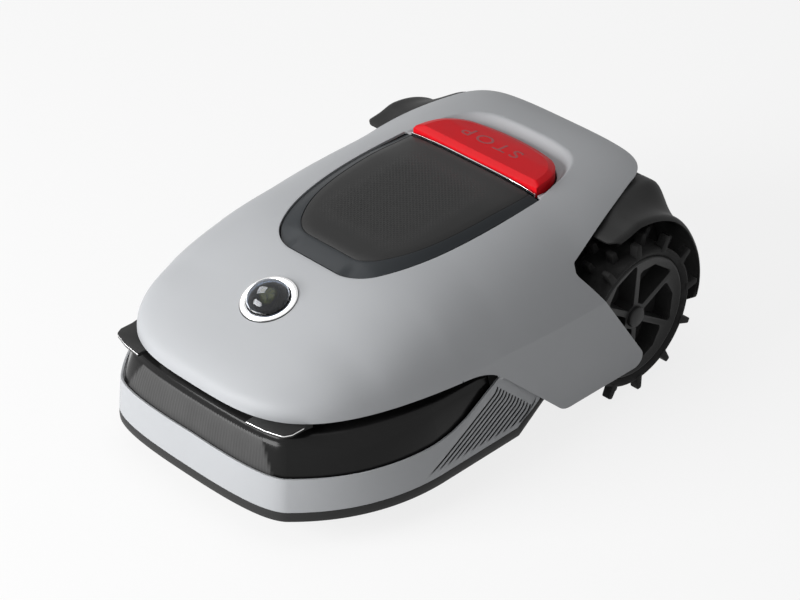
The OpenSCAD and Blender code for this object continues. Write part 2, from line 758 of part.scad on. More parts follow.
// Swivel caster, drawn about its own stem
module at_caster(side) {
    translate([side * caster_x, caster_y, 0]) children();
}
fork_gap = 12.5;
fork_t = 4;
crown_z = 84;
module caster_fork() {
    color("dimgray") difference() {
        union() {
            translate([0, 0, crown_z]) cylinder(r = 22, h = 7);
            translate([0, 0, crown_z]) cylinder(r = stem_r, h = 51);
            for (side = [-1, 1]) translate([side * (fork_gap + fork_t / 2), 0, 0]) rotate([90, 0, 90])
                linear_extrude(fork_t, center = true) polygon([
                    [-13, crown_z + 6], [-10, 74], [caster_trail - 10, caster_r - 2], [caster_trail - 5, caster_r - 9],
                    [caster_trail + 5, caster_r - 9], [caster_trail + 10, caster_r - 2], [16, 74], [13, crown_z + 6]
                ]);
        }
        translate([-30, caster_trail, caster_r]) rotate([0, 90, 0]) cylinder(r = axle_r, h = 60);
    }
}
module caster_axle() {
    color("lightgray") translate([-18, caster_trail, caster_r]) rotate([0, 90, 0]) cylinder(r = axle_r, h = 36);
}
module caster_wheel() {
    color("black") translate([-11, caster_trail, caster_r]) rotate([0, 90, 0]) rotate_extrude() polygon([
        [axle_r + slip, 0], [12, 0], [14, 3], [26, 3], [28, 1], [caster_r - 4, 1], [caster_r - 1, 4], [caster_r, 11],
        [caster_r - 1, 18], [caster_r - 4, 21], [28, 21], [26, 19], [14, 19], [12, 22], [axle_r + slip, 22]
    ]);
}
module caster_fork_left() {
    at_caster(1) caster_fork();
}
module caster_fork_right() {
    at_caster(-1) caster_fork();
}
module caster_axle_left() {
    at_caster(1) caster_axle();
}
module caster_axle_right() {
    at_caster(-1) caster_axle();
}
module caster_wheel_left() {
    at_caster(1) caster_wheel();
}
module caster_wheel_right() {
    at_caster(-1) caster_wheel();
}

// Height frame: two rods on the deck, a bridge over them, and a lead screw under its motor
module guide_rods() {
    color("lightgray") for (x = [-rod_x, rod_x]) translate([x, 0, deck_top]) cylinder(r = rod_r, h = bridge_z - deck_top);
}
module lift_bridge() {
    color("dimgray") difference() {
        union() {
            translate([-rod_x - 9, -9, bridge_z]) cube([2 * rod_x + 18, 18, 4]);
            translate([-18, 0, bridge_z]) cube([36, screw_y + 18, 4]);
        }
        translate([0, screw_y, bridge_z - 1]) cylinder(r = rod_r + slip, h = 10);
    }
}
module height_motor() {
    color("slategray") difference() {
        translate([0, screw_y, bridge_z + 4]) cylinder(r = 17, h = 18);
        translate([0, screw_y, bridge_z]) cylinder(r = rod_r + slip, h = 14);
    }
}
module lift_screw() {
    color("lightgray") translate([0, screw_y, deck_z]) cylinder(r = rod_r, h = bridge_z + 10 - deck_z);
}
bush_low = carriage_z - 2;
module height_carriage() {
    color("black") difference() {
        union() {
            translate([-rod_x, -26, carriage_z]) cube([2 * rod_x, 52, 5]);
            translate([-12, 0, carriage_z]) cube([24, screw_y, 5]);
            for (x = [-rod_x, rod_x]) translate([x, 0, bush_low]) cylinder(r = 10, h = 20);
            translate([0, screw_y, bush_low]) cylinder(r = 10, h = 20);
        }
        for (x = [-rod_x, rod_x]) translate([x, 0, 0]) cylinder(r = rod_r + slip, h = 200);
        translate([0, screw_y, 0]) cylinder(r = rod_r + slip, h = 200);
    }
}
module blade_motor() {
    color("slategray") difference() {
        translate([0, 0, disc_z + 24]) cylinder(r = 32, h = carriage_z - disc_z - 24);
        translate([0, 0, disc_z]) cylinder(r = 5 + slip, h = 50);
    }
}

// Blade disc with its shaft, three swinging blades and their shouldered bolts
module round_the_disc() {
    for (i = [0 : 2]) rotate(120 * i) translate([blade_pivot, 0, 0]) children();
}
module blade_disc() {
    color("dimgray") difference() {
        union() {
            rotate_extrude() polygon([
                [0, disc_z], [96, disc_z], [97, disc_z + 1.5], [96, disc_z + 3], [40, disc_z + 3], [26, disc_z + 8], [0, disc_z + 8]
            ]);
            cylinder_at(5, disc_z + 4, 40);
        }
        round_the_disc() cylinder(r = 3, h = 200);
        for (i = [0 : 5]) rotate(60 * i + 30) translate([60, 0, 0]) cylinder(r = 9, h = 200);
    }
}
module cylinder_at(r, z, h) {
    translate([0, 0, z]) cylinder(r = r, h = h);
}
module blade_bolts() {
    color("lightgray") round_the_disc() {
        cylinder_at(5.5, disc_z - 4.5, 2.7);
        cylinder_at(3, disc_z - 4, 9);
        cylinder_at(5.5, disc_z + 3, 3);
    }
}
module blade(i) {
    color("silver") rotate(120 * i) translate([blade_pivot, 0, disc_z - 1.4]) difference() {
        linear_extrude(blade_t) polygon([[-8, -9], [cut_r - blade_pivot - 2, -9], [cut_r - blade_pivot - 0.6, -6],
            [cut_r - blade_pivot - 0.6, 6], [cut_r - blade_pivot - 2, 9], [-8, 9]]);
        translate([0, 0, -1]) cylinder(r = 3 + slip, h = 4);
    }
}
module blade_1() {
    blade(0);
}
module blade_2() {
    blade(1);
}
module blade_3() {
    blade(2);
}

chassis_tub();
battery_pack();
battery_cover();
main_board();
rear_housing();
fender_left();
fender_right();
top_cover();
contact_shelf_left();
contact_shelf_right();
contact_strip_left();
contact_strip_right();
scanner_base();
scanner_ring();
scanner_dome();
scanner_core();
control_tray();
tray_seal();
control_panel();
display_glass();
menu_knob();
start_button();
home_button();
lid_shell();
lid_panel();
lid_pins();
stop_trim();
stop_button();
stop_spring();
bumper_band();
bumper_strip();
bumper_window();
bumper_pins();
drive_motor_left();
drive_motor_right();
wheel_shaft_left();
wheel_shaft_right();
tyre_left();
tyre_right();
rim_left();
rim_right();
hub_cap_left();
hub_cap_right();
caster_fork_left();
caster_fork_right();
caster_axle_left();
caster_axle_right();
caster_wheel_left();
caster_wheel_right();
guide_rods();
lift_bridge();
height_motor();
lift_screw();
height_carriage();
blade_motor();
blade_disc();
blade_bolts();
blade_1();
blade_2();
blade_3();
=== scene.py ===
# %% [markdown]
# # A robotic lawn mower
# The mower is a low, rounded machine. A pale moulded cover sits over a dark chassis, a sprung bumper
# runs round the nose, and two big treaded wheels drive it from behind. The solid parts come from the
# frame, so this lesson only dresses them: smooth shells stand in for the coarse ones, and each piece
# gets a finish.

import json
import math

import bmesh
import bpy
import numpy as np
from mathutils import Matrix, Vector


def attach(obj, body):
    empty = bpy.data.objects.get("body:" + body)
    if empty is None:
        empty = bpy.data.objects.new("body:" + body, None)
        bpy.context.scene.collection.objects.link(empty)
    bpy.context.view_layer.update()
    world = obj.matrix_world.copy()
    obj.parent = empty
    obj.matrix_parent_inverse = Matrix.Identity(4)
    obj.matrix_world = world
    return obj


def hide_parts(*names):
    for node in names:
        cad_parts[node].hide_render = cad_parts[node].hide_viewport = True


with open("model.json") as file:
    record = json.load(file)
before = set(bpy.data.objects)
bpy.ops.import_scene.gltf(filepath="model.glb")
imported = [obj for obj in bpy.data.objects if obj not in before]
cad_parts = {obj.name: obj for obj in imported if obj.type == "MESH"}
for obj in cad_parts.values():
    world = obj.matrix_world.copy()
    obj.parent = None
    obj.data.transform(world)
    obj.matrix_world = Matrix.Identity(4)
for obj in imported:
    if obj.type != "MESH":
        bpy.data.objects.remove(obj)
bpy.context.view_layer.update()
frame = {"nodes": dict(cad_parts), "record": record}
MM = 0.001

# %% [markdown]
# ## Camera
# The picture was taken with a long lens from the front left of the machine, about 33 degrees above the
# ground. A long lens keeps parallel edges almost parallel, so the lens and distance matter more than
# they seem to. The camera looks along one plain direction, set by its two angles.

# %% Camera
CAMERA_AZIMUTH = math.radians(45.43)
CAMERA_ELEVATION = math.radians(33.02)
CAMERA_PLACE = Vector((1.9223, -1.8800, 1.8699))
CAMERA_LENS = 122.76

camera = bpy.data.objects.new("camera", bpy.data.cameras.new("camera"))
bpy.context.scene.collection.objects.link(camera)
bpy.context.scene.camera = camera
camera.data.lens = CAMERA_LENS
camera.data.sensor_width = 36
camera.data.clip_end = 50
camera.location = CAMERA_PLACE
camera_back = Vector((
    math.sin(CAMERA_AZIMUTH) * math.cos(CAMERA_ELEVATION),
    -math.cos(CAMERA_AZIMUTH) * math.cos(CAMERA_ELEVATION),
    math.sin(CAMERA_ELEVATION),
))
camera.rotation_mode = "QUATERNION"
camera.rotation_quaternion = (-camera_back).to_track_quat("-Z", "Y")
print("camera at", tuple(round(c, 3) for c in camera.location))

# %% [markdown]
# ## Shader maths in Python
# Every finish here is worked out by nodes, and node graphs are hard to read as code. A small class
# wraps one output socket, so that `1 - mask` or `height * 0.4` adds the Math node it needs. All other
# nodes come from its one `node` method.


# %% Sockets that take part in expressions
class Wire:
    """An output socket of a node tree that can be used in Python expressions."""

    def __init__(self, tree, socket=None):
        self.tree = tree
        self.socket = socket

    def node(self, kind, settings=None, inputs=None, output=0):
        """Add a node: its settings first, then the values or links of its sockets."""
        made = self.tree.nodes.new(kind)
        for name, value in (settings or {}).items():
            setattr(made, name, value)
        for key, value in (inputs or {}).items():
            if isinstance(value, Wire):
                self.tree.links.new(value.socket, made.inputs[key])
            else:
                made.inputs[key].default_value = value
        return Wire(self.tree, made.outputs[output])

    def math(self, operation, *values):
        return self.node("ShaderNodeMath", {"operation": operation}, dict(enumerate(values)))

    def mix(self, low, high):
        """Blend two colours, with this value as the factor."""
        sockets = {0: self, 6: low, 7: high}
        return self.node("ShaderNodeMix", {"data_type": "RGBA"}, sockets, output=2)

    def between(self, low, high):
        """How far this value has gone from low to high, held to 0..1 and eased."""
        settings = {"interpolation_type": "SMOOTHSTEP"}
        return self.node("ShaderNodeMapRange", settings, {0: self, 1: low, 2: high})

    def __add__(self, other):
        return self.math("ADD", self, other)

    def __sub__(self, other):
        return self.math("SUBTRACT", self, other)

    def __rsub__(self, other):
        return self.math("SUBTRACT", other, self)

    def __mul__(self, other):
        return self.math("MULTIPLY", self, other)

    def __truediv__(self, other):
        return self.math("DIVIDE", self, other)

    def __abs__(self):
        return self.math("ABSOLUTE", self)

    __radd__ = __add__


print("shader expressions ready")

# %% [markdown]
# ## Moulded plastic
# Nearly everything that shows is injection-moulded plastic. Up close it is not one flat colour: the mould
# leaves a fine grain, the gloss wanders a little, and the colour has a faint cloud. One function makes them
# all, so each plastic differs only by its colour, gloss and the depth of its grain, and sunk places can get
# painted shade.


# %% The plastic finish
def grey(level):
    return (level, level, level, 1)


def start_finish(name, **constants):
    """A new material: the shader's fixed sockets are set here, and a Wire starts its node graph."""
    material = bpy.data.materials.new(name)
    material.use_nodes = True
    shader = material.node_tree.nodes["Principled BSDF"]
    for socket, value in constants.items():
        shader.inputs[socket.replace("_", " ")].default_value = value
    start = Wire(material.node_tree)
    place = start.node("ShaderNodeTexCoord", output=3)
    return material, shader, start, place


def feed(shader, **wires):
    """Link what changes over the surface to the shader."""
    for socket, wire in wires.items():
        wire.tree.links.new(wire.socket, shader.inputs[socket.replace("_", " ")])


def noise(start, place, size, detail=2.0):
    """Cloudy noise whose lumps are about `size` millimetres across."""
    sockets = {"Vector": place, "Scale": 1 / (size * MM), "Detail": detail}
    return start.node("ShaderNodeTexNoise", None, sockets)


def bump(start, height, depth):
    """Surface relief of `depth` millimetres where the height goes from 0 to 1."""
    return start.node("ShaderNodeBump", None, {"Height": height, "Distance": depth * MM, "Strength": 1.0})


def plastic(name, colour, gloss_loss, grain=0.6, depth=0.02, cloud=0.05, painted_shade_below=None, **constants):
    """A moulded plastic. With `painted_shade_below`, points sunk that many millimetres get painted shade,
    down to black.
    """
    material, shader, start, place = start_finish(name, **constants)
    clouds = noise(start, place, 40)
    darker = tuple(c * (1 - cloud) for c in colour[:3]) + (1,)
    lighter = tuple(min(c * (1 + cloud), 1) for c in colour[:3]) + (1,)
    grains = noise(start, place, grain, detail=3)
    shade = clouds.mix(darker, lighter)
    if painted_shade_below is not None:
        # painted shade: sunk points darken towards black, as shade would fall in a groove
        sunk = start.node("ShaderNodeAttribute", {"attribute_name": "depth"}, output=2)
        shade = sunk.between(0.3 * painted_shade_below, painted_shade_below).mix(shade, grey(0.008))
    feed(
        shader,
        Base_Color=shade,
        Roughness=gloss_loss + (clouds - 0.5) * 0.08 + (grains - 0.5) * 0.06,
        Normal=bump(start, grains, depth),
    )
    return material


SHELL = (0.40, 0.41, 0.425, 1)
SATIN = {"Specular_IOR_Level": 0.25}
MATT = {"Specular_IOR_Level": 0.16}
shell_grey = plastic("satin_shell_grey", SHELL, 0.5, cloud=0.02, depth=0.008, **SATIN)
black_plastic = plastic("matt_black_plastic", grey(0.016), 0.55, grain=0.9, depth=0.05, **MATT)
strip_rubber = plastic("dark_strip", grey(0.030), 0.5, grain=0.8, depth=0.03, **MATT)
lid_charcoal = plastic("lid_charcoal", (0.016, 0.019, 0.022, 1), 0.4, depth=0.02, Specular_IOR_Level=0.14)
rim_plastic = plastic("rim_charcoal", grey(0.030), 0.42, grain=0.8, depth=0.03, **MATT)
panel_plastic = plastic("panel_grey", grey(0.05), 0.5, depth=0.03, **MATT)
battery_case = plastic("battery_case", (0.03, 0.035, 0.045, 1), 0.55, depth=0.04)
start_green = plastic("start_green", (0.05, 0.32, 0.10, 1), 0.4)
print("materials so far:", len(bpy.data.materials))

# %% [markdown]
# ## The other finishes
# Rubber is rougher and dustier than plastic. Turned steel and the bright ring are metal, with fine
# streaks that follow the cut. The window and the dome are glossy, and the dome lets light through, so
# the core behind it shows. The red of the stop button is nearly matt.


# %% Rubber, metal and gloss
def rubber(name):
    """Dull black with dust in patches and fine pores."""
    material, shader, start, place = start_finish(name, **MATT)
    dust = noise(start, place, 18, detail=4)
    pores = noise(start, place, 0.8, detail=4)
    feed(
        shader,
        Base_Color=dust.between(0.45, 0.75).mix(grey(0.011), grey(0.026)),
        Roughness=0.62 + dust * 0.2,
        Normal=bump(start, pores, 0.12),
    )
    return material


def metal(name, level, gloss_loss, streak=0.05):
    """A grey metal whose gloss varies in fine streaks."""
    material, shader, start, place = start_finish(name, Metallic=1.0)
    stretch = start.node("ShaderNodeMapping", None, {"Vector": place, "Scale": (1, 1, 0.04)})
    streaks = noise(start, stretch, 0.5, detail=4)
    feed(
        shader,
        Base_Color=streaks.mix(grey(level * 0.92), grey(level)),
        Roughness=gloss_loss + (streaks - 0.5) * streak,
    )
    return material


def glossy(name, colour, gloss_loss, **constants):
    """A smooth surface with a faint haze."""
    material, shader, start, place = start_finish(name, Coat_Roughness=0.04, **constants)
    haze = noise(start, place, 25, detail=3)
    deep = tuple(c * 0.85 for c in colour[:3]) + (1,)
    feed(shader, Base_Color=haze.mix(deep, colour), Roughness=gloss_loss + haze * 0.05)
    return material


tyre_rubber = rubber("tyre_rubber")
steel = metal("turned_steel", 0.62, 0.28, streak=0.15)
bright_metal = metal("polished_ring", 0.76, 0.16)
motor_case = metal("motor_case", 0.35, 0.45, streak=0.1)
display_glass = glossy("display_glass", (0.008, 0.012, 0.016, 1), 0.06, Coat_Weight=0.6)
stop_red = glossy("stop_red", (0.72, 0.007, 0.014, 1), 0.34, Specular_IOR_Level=0.06)
board_green = glossy("board_green", (0.01, 0.10, 0.04, 1), 0.35)
dome_glass = glossy(
    "dome_glass", (0.20, 0.23, 0.28, 1), 0.01, Transmission_Weight=1.0, IOR=1.45, Specular_IOR_Level=0.12,
)
print("materials so far:", len(bpy.data.materials))

# %% [markdown]
# ## From points to pieces
# A shell is easiest to think of as a net: rows and columns of points on a formula. These helpers turn
# nets into meshes, weld nets that share a border, mirror a left half to the right, give a sheet its
# wall, and round its edges with a small bevel. Everything is written in millimetres until the last step.


# %% Nets, walls and rounded edges
def net_faces(rows, columns, closed=False):
    """Quads of a net of points; a closed net joins its last column to its first."""
    ahead = columns if closed else columns - 1
    r, c = np.meshgrid(np.arange(rows - 1), np.arange(ahead), indexing="ij")
    here = r * columns + c
    beside = r * columns + (c + 1) % columns
    return np.stack([here, beside, beside + columns, here + columns], -1).reshape(-1, 4)


def mirrored(net):
    """The same net on the other side of the machine."""
    return (net * np.array([-1, 1, 1]))[:, ::-1]


def on_side(nets, side):
    """Nets of the left side as they are, or mirrored to the right."""
    return nets if side == "left" else [mirrored(net) for net in nets]


def welded(name, nets, closed=False, keep=None, marks=None):
    """Weld nets of points into one mesh; marks are values kept with the points."""
    points = np.concatenate([net.reshape(-1, 3) for net in nets])
    faces = []
    first = 0
    for net in nets:
        faces.append(net_faces(net.shape[0], net.shape[1], closed) + first)
        first += net.shape[0] * net.shape[1]
    faces = np.concatenate(faces)
    if keep is not None:
        faces = faces[keep(points[faces].mean(axis=1))]
    mesh = bpy.data.meshes.new(name)
    mesh.from_pydata((points * MM).tolist(), [], faces.tolist())
    if marks is not None:
        values = np.concatenate([mark.ravel() for mark in marks])
        mesh.attributes.new("depth", "FLOAT", "POINT").data.foreach_set("value", values)
    work = bmesh.new()
    work.from_mesh(mesh)
    bmesh.ops.remove_doubles(work, verts=work.verts, dist=0.02 * MM)
    bmesh.ops.dissolve_degenerate(work, edges=work.edges, dist=0.01 * MM)
    loose = [v for v in work.verts if not v.link_faces]
    bmesh.ops.delete(work, geom=loose, context="VERTS")
    bmesh.ops.recalc_face_normals(work, faces=work.faces)
    work.to_mesh(mesh)
    work.free()
    return mesh


def piece(name, nets, finish, body, slot, replaces=(), **how):
    """A welded mesh that rides on a body and stands for some of the solids."""
    return dress(name, welded(name, nets, **how), finish, body, replaces)


def dress(name, mesh, finish, body, replaces=()):
    """Make an object of a mesh, with its finish, its body and the nodes that it stands for."""
    shown = bpy.data.objects.new(name, mesh)
    bpy.context.scene.collection.objects.link(shown)
    mesh.materials.append(finish)
    mesh.shade_smooth()
    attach(shown, body)
    if replaces:
        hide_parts(*replaces)
    return shown


def settle(shown, sharp=35):
    """Bake the modifiers into the mesh, and mark the edges that stay crisp."""
    graph = bpy.context.evaluated_depsgraph_get()
    mesh = bpy.data.meshes.new_from_object(shown.evaluated_get(graph))
    shown.modifiers.clear()
    shown.data = mesh
    mesh.shade_smooth()
    mesh.set_sharp_from_angle(angle=math.radians(sharp))


def walled(shown, wall, round_edge):
    """Give a sheet its wall and round the edges that the wall leaves."""
    shell = shown.modifiers.new("wall", "SOLIDIFY")
    shell.thickness = wall * MM
    shell.offset = -1
    shell.use_even_offset = False
    shell.use_quality_normals = True
    rounded(shown, round_edge)
    settle(shown)


def rounded(shown, width, angle=40):
    """Round every edge that is sharper than an angle."""
    edge = shown.modifiers.new("edge", "BEVEL")
    edge.width = width * MM
    edge.segments = 3
    edge.limit_method = "ANGLE"
    edge.angle_limit = math.radians(angle)
    edge.use_clamp_overlap = True


def carved(shown, nets, round_edge):
    """Cut closed nets out of a piece, and round what the cut leaves."""
    cutter = bpy.data.objects.new("cutter", welded("cutter", nets, closed=True))
    bpy.context.scene.collection.objects.link(cutter)
    cut = shown.modifiers.new("cut", "BOOLEAN")
    cut.operation = "DIFFERENCE"
    cut.solver = "EXACT"
    cut.object = cutter
    rounded(shown, round_edge)
    settle(shown)
    bpy.data.objects.remove(cutter)


def level(plan, z):
    """Plan points, all at one height."""
    return np.column_stack([plan, np.full(len(plan), float(z))])


def prism(outline, low, high, place=lambda points: points):
    """A closed net: an outline drawn at two heights, with both ends drawn in to its middle."""
    outline = np.asarray(outline, float)
    middle = np.broadcast_to(outline.mean(axis=0), outline.shape)
    rows = [(middle, low), (outline, low), (outline, high), (middle, high)]
    return np.array([place(level(line, z)) for line, z in rows])


print("mesh helpers ready")

# %% [markdown]
# ## The cover's form
# The cover is the face of the machine. Its form needs few curves: a centre line from the nose over
# the lid to the tail, the plan of its brim, and a rule for the arch between them. The arch is a
# superellipse, squarer over the nose and tighter over the wings, where it meets the side in a crease.
# A formula is chosen over sculpting, because then the lid and the button can follow the same crown.


# %% Curves of the cover
def cubic(points, t):
    """Points of a cubic curve."""
    a, b, c, d = (np.asarray(p, float) for p in points)
    t = np.asarray(t, float)[..., None]
    return (1 - t) ** 3 * a + 3 * (1 - t) ** 2 * t * b + 3 * (1 - t) * t**2 * c + t**3 * d


def chain(*curves, steps=200):
    """Cubic curves set end to end."""
    return np.vstack([cubic(curve, np.linspace(0, 1, steps + 1)) for curve in curves])


def eased(value, stops):
    """Move smoothly from stop to stop, and stay level before the first and after the last."""
    places, levels = np.array(stops, float).T
    value = np.asarray(value, float)
    i = np.clip(np.searchsorted(places, value) - 1, 0, len(places) - 2)
    t = np.clip((value - places[i]) / (places[i + 1] - places[i]), 0, 1)
    return levels[i] + (levels[i + 1] - levels[i]) * t * t * (3 - 2 * t)


NOSE = -321.5
HALF_WIDTH = 218.5
COVER_NOSE = -306
COVER_TAIL = 297
LIP = 150
LIP_EDGE = 2.5
LIP_RISES = [0, LIP_EDGE / 2, LIP_EDGE]
CREASE = 161
WING_TUCK = 0.034
CROWN = chain(
    [(COVER_NOSE, LIP + LIP_EDGE), (COVER_NOSE, 172), (-276, 181), (-235, 196)],
    [(-235, 196), (-200, 208), (-168, 220), (-128, 231)],
    [(-128, 231), (-60, 250), (70, 259), (180, 259.5)],
    [(180, 259.5), (240, 260), (275, 257), (COVER_TAIL, 249)],
)
BRIM = chain(
    [(0, COVER_NOSE), (104, COVER_NOSE), (180, COVER_NOSE), (208, -71)],
    [(208, -71), (212, -38), (HALF_WIDTH, 20), (HALF_WIDTH, 90)],
)


def crown_z(y):
    """Height of the centre line."""
    return np.interp(y, CROWN[:, 0], CROWN[:, 1])


def brim_x(y):
    """Distance of the brim from the middle."""
    return np.interp(y, BRIM[:, 1], BRIM[:, 0])


def brim_z(y):
    """Height of the brim, which climbs to the wing's crease."""
    return eased(y, [(-90, LIP + LIP_EDGE), (-25, CREASE)])


def shoulder(y):
    """How far out the arch stays flat: higher is squarer."""
    return eased(y, [(-250, 4.7), (-190, 3.8)])


def roundness(y):
    """How the arch meets the brim: near 1 it is a crease, near 2 it is round."""
    return eased(y, [(-250, 2.2), (-190, 2.0), (-100, 1.65), (-20, 1.25), (110, 1.22), (200, 1.5)])


def cover_z(x, y):
    """Height of the cover over a point of its plan."""
    share = np.clip(np.abs(x) / np.maximum(brim_x(y), 0.001), 0, 1)
    arch = (1 - share ** shoulder(y)) ** (1 / roundness(y))
    return brim_z(y) + (crown_z(y) - brim_z(y)) * arch


def cover_x(y, z):
    """How far out the cover is at a point of its side view."""
    height = np.clip((z - brim_z(y)) / (crown_z(y) - brim_z(y)), 0, 1)
    arch = brim_x(y) * (1 - height ** roundness(y)) ** (1 / shoulder(y))
    tuck = np.clip(brim_z(y) - z, 0, None) * WING_TUCK
    return arch - tuck


def on_cover(plan):
    """Lift points of the plan on to the cover."""
    x, y = plan[..., 0], plan[..., 1]
    return np.stack([x, y, cover_z(x, y)], -1)


print("cover: crown", round(float(crown_z(180)), 1), "mm, brim", HALF_WIDTH, "mm from the middle")

# %% [markdown]
# ## The cover's edges
# Four outlines bound the cover: the opening for the lid, the finger scoop behind the stop button, the
# side view with its wing, and the tail in plan. A helper sets a small arc in each corner, and another
# spreads a given number of points evenly along a line, so that two outlines can be joined by a net.


# %% Outlines of the cover
def filleted(corners, steps=8):
    """A line through corners given as (a, b, radius), with an arc in place of each corner."""
    points = np.array([c[:2] for c in corners], float)
    out = [points[0]]
    for before, here, after, radius in zip(points, points[1:], points[2:], [c[2] for c in corners[1:]]):
        back = (before - here) / np.linalg.norm(before - here)
        ahead = (after - here) / np.linalg.norm(after - here)
        half = math.acos(np.clip(back @ ahead, -1, 1)) / 2
        start = here + back * radius / math.tan(half)
        end = here + ahead * radius / math.tan(half)
        centre = here + (back + ahead) / np.linalg.norm(back + ahead) * radius / math.sin(half)
        turn = np.linspace(0, 1, steps + 1)[:, None]
        arc = start + (end - start) * turn - centre
        out.extend(centre + arc / np.linalg.norm(arc, axis=1)[:, None] * radius)
    out.append(points[-1])
    return np.array(out)


def spread(line, count):
    """`count` points evenly along a line."""
    steps = np.linalg.norm(np.diff(line, axis=0), axis=1)
    length = np.concatenate([[0], np.cumsum(steps)])
    wanted = np.linspace(0, 1, count) * length[-1]
    return np.stack([np.interp(wanted, length, line[:, k]) for k in range(line.shape[1])], -1)


def between(line, first, last):
    """The stretch of a line from the point nearest to first to the one nearest to last."""
    a = np.argmin(np.linalg.norm(line - np.array(first), axis=1))
    b = np.argmin(np.linalg.norm(line - np.array(last), axis=1))
    return line[a : b + 1]


def outset(line, distance):
    """Move a plan line sideways, to the right of its run."""
    run = np.gradient(line, axis=0)
    run /= np.maximum(np.linalg.norm(run, axis=1), 1e-9)[:, None]
    return line + np.stack([run[:, 1], -run[:, 0]], -1) * distance


LID_GAP = 2.2
LID_REAR = 131
LID_HALF = 109.4
LID_FRONT = -122.4
lid_line = chain(
    [(0, LID_FRONT), (13, LID_FRONT), (26, LID_FRONT), (38, LID_FRONT)],
    [(38, LID_FRONT), (50, LID_FRONT), (67.4, -115.4), (77.5, -100.6)],
    [(77.5, -100.6), (99.5, -66.7), (116.4, -10), (LID_HALF, LID_REAR)],
)
PANEL_FRONT = -97.5
PANEL_REAR = 127
panel_line = chain(
    [(0, PANEL_FRONT), (12, PANEL_FRONT), (24, PANEL_FRONT), (34, PANEL_FRONT)],
    [(34, PANEL_FRONT), (44, PANEL_FRONT), (57, -92), (66, -79)],
    [(66, -79), (84, -53), (103, -14), (97, PANEL_REAR)],
)
opening_line = outset(lid_line, LID_GAP)
opening_line[0, 0] = 0
STOP_FRONT = 135.5
stop_line = chain(
    [(101, STOP_FRONT), (99, 160), (96, 184), (66, 199.5)],
    [(66, 199.5), (45, 207), (20, 209.5), (0, 209.5)],
)
scoop_line = chain(
    [(LID_HALF + LID_GAP, LID_REAR), (105, 150), (102, 172), (98.5, 185)],
    [(98.5, 185), (93, 205), (86, 228), (55, 234)],
    [(55, 234), (35, 238), (20, 238), (0, 238)],
)
WING_START = (-90, LIP)
WING_REAR_SLOPE = 1.405
NOTCH = (98, 207)
NOTCH_HEAD = (95, 213)
side_line = filleted([
    (*WING_START, 0), (-52, LIP, 76), (70, 37, 26), (219, 37, 13), (*NOTCH, 9), (190, 240, 0),
])
tail_line = chain(
    [(187.5, 107), (179, 138), (168.5, 188), (147, 248)],
    [(147, 248), (140, 276), (125, 292), (92, 294.5)],
    [(92, 294.5), (60, 297), (30, COVER_TAIL), (0, COVER_TAIL)],
)
print("points:", len(opening_line), "on the lid's opening,", len(side_line), "on the side view")

# %% [markdown]
# ## The cover's shell
# One net spans from the lid's opening out to the brim and the tail. A second net hangs the wing from
# the crease, and a third sinks the scoop down to the stop button. They share their border points, so
# welding makes one sheet. Near the wheel's notch the columns are bent, so that they never cross the
# edge. A wall and a bevel then turn the sheet into a moulded shell.


# %% Cover
def joined(*stretches):
    """Set stretches of points end to end, without repeating the shared ends."""
    return np.vstack([stretches[0]] + [s[1:] for s in stretches[1:]])


def fan(inner, outer, rows, power=1.0, bow=0.0):
    """A net in plan between two lines with the same number of points; a bow bends its columns."""
    t = (1 - (1 - np.linspace(0, 1, rows)) ** power)[:, None, None]
    return inner + (outer - inner) * t + 2 * t * (1 - t) * bow


COLUMNS = {"nose": 70, "crease": 110, "rear": 22, "tail": 130}
SCOOP_COLUMNS = 80
COVER_ROWS = 60
SCOOP_ROWS = 14
WING_ROW = 5
TAIL_JOIN = 4
crease_end = (NOTCH[0] + (NOTCH[1] - CREASE) / WING_REAR_SLOPE, CREASE)
lip_line = BRIM[BRIM[:, 1] < WING_START[0]]
crease_y = np.linspace(WING_START[0], crease_end[0], 200)
crease_line = np.stack([brim_x(crease_y), crease_y], -1)
side_view_line = spread(side_line, 4000)
rear_edge = between(side_view_line, crease_end, NOTCH_HEAD)
rear_edge = rear_edge[: np.argmin(rear_edge[:, 0]) + 1]
rear_plan = np.stack([cover_x(rear_edge[:, 0], rear_edge[:, 1]), rear_edge[:, 0]], -1)
tail_plan = np.vstack([rear_plan[-1:], tail_line[tail_line[:, 1] > rear_plan[-1, 1] + TAIL_JOIN]])
outer = joined(
    spread(lip_line, COLUMNS["nose"]), spread(crease_line, COLUMNS["crease"]),
    spread(rear_plan, COLUMNS["rear"]), spread(tail_plan, COLUMNS["tail"]),
)
LID_STATIONS = [(0, -124.2), (64, -116), (97, -62), (112, 40), (LID_HALF + LID_GAP, LID_REAR)]
opening_run = spread(opening_line, 2000)
lid_parts = [between(opening_run, a, b) for a, b in zip(LID_STATIONS, LID_STATIONS[1:])]
inner = joined(
    spread(lid_parts[0], COLUMNS["nose"]), spread(lid_parts[1], COLUMNS["crease"]),
    spread(lid_parts[2], COLUMNS["rear"]),
    spread(lid_parts[3], COLUMNS["tail"] - SCOOP_COLUMNS + 1),
    spread(scoop_line, SCOOP_COLUMNS),
)
NOTCH_BOW = np.array([30, -10])
BOW_COLUMNS = 60
column = np.arange(len(outer)) - (COLUMNS["nose"] + COLUMNS["crease"] - 2)
bent = np.clip(column / BOW_COLUMNS + 1, 0, 1) ** 2 * np.clip(1 - column / COLUMNS["rear"], 0, 1)
top_net = on_cover(fan(inner, outer, COVER_ROWS, power=1.8, bow=bent[:, None] * NOTCH_BOW))

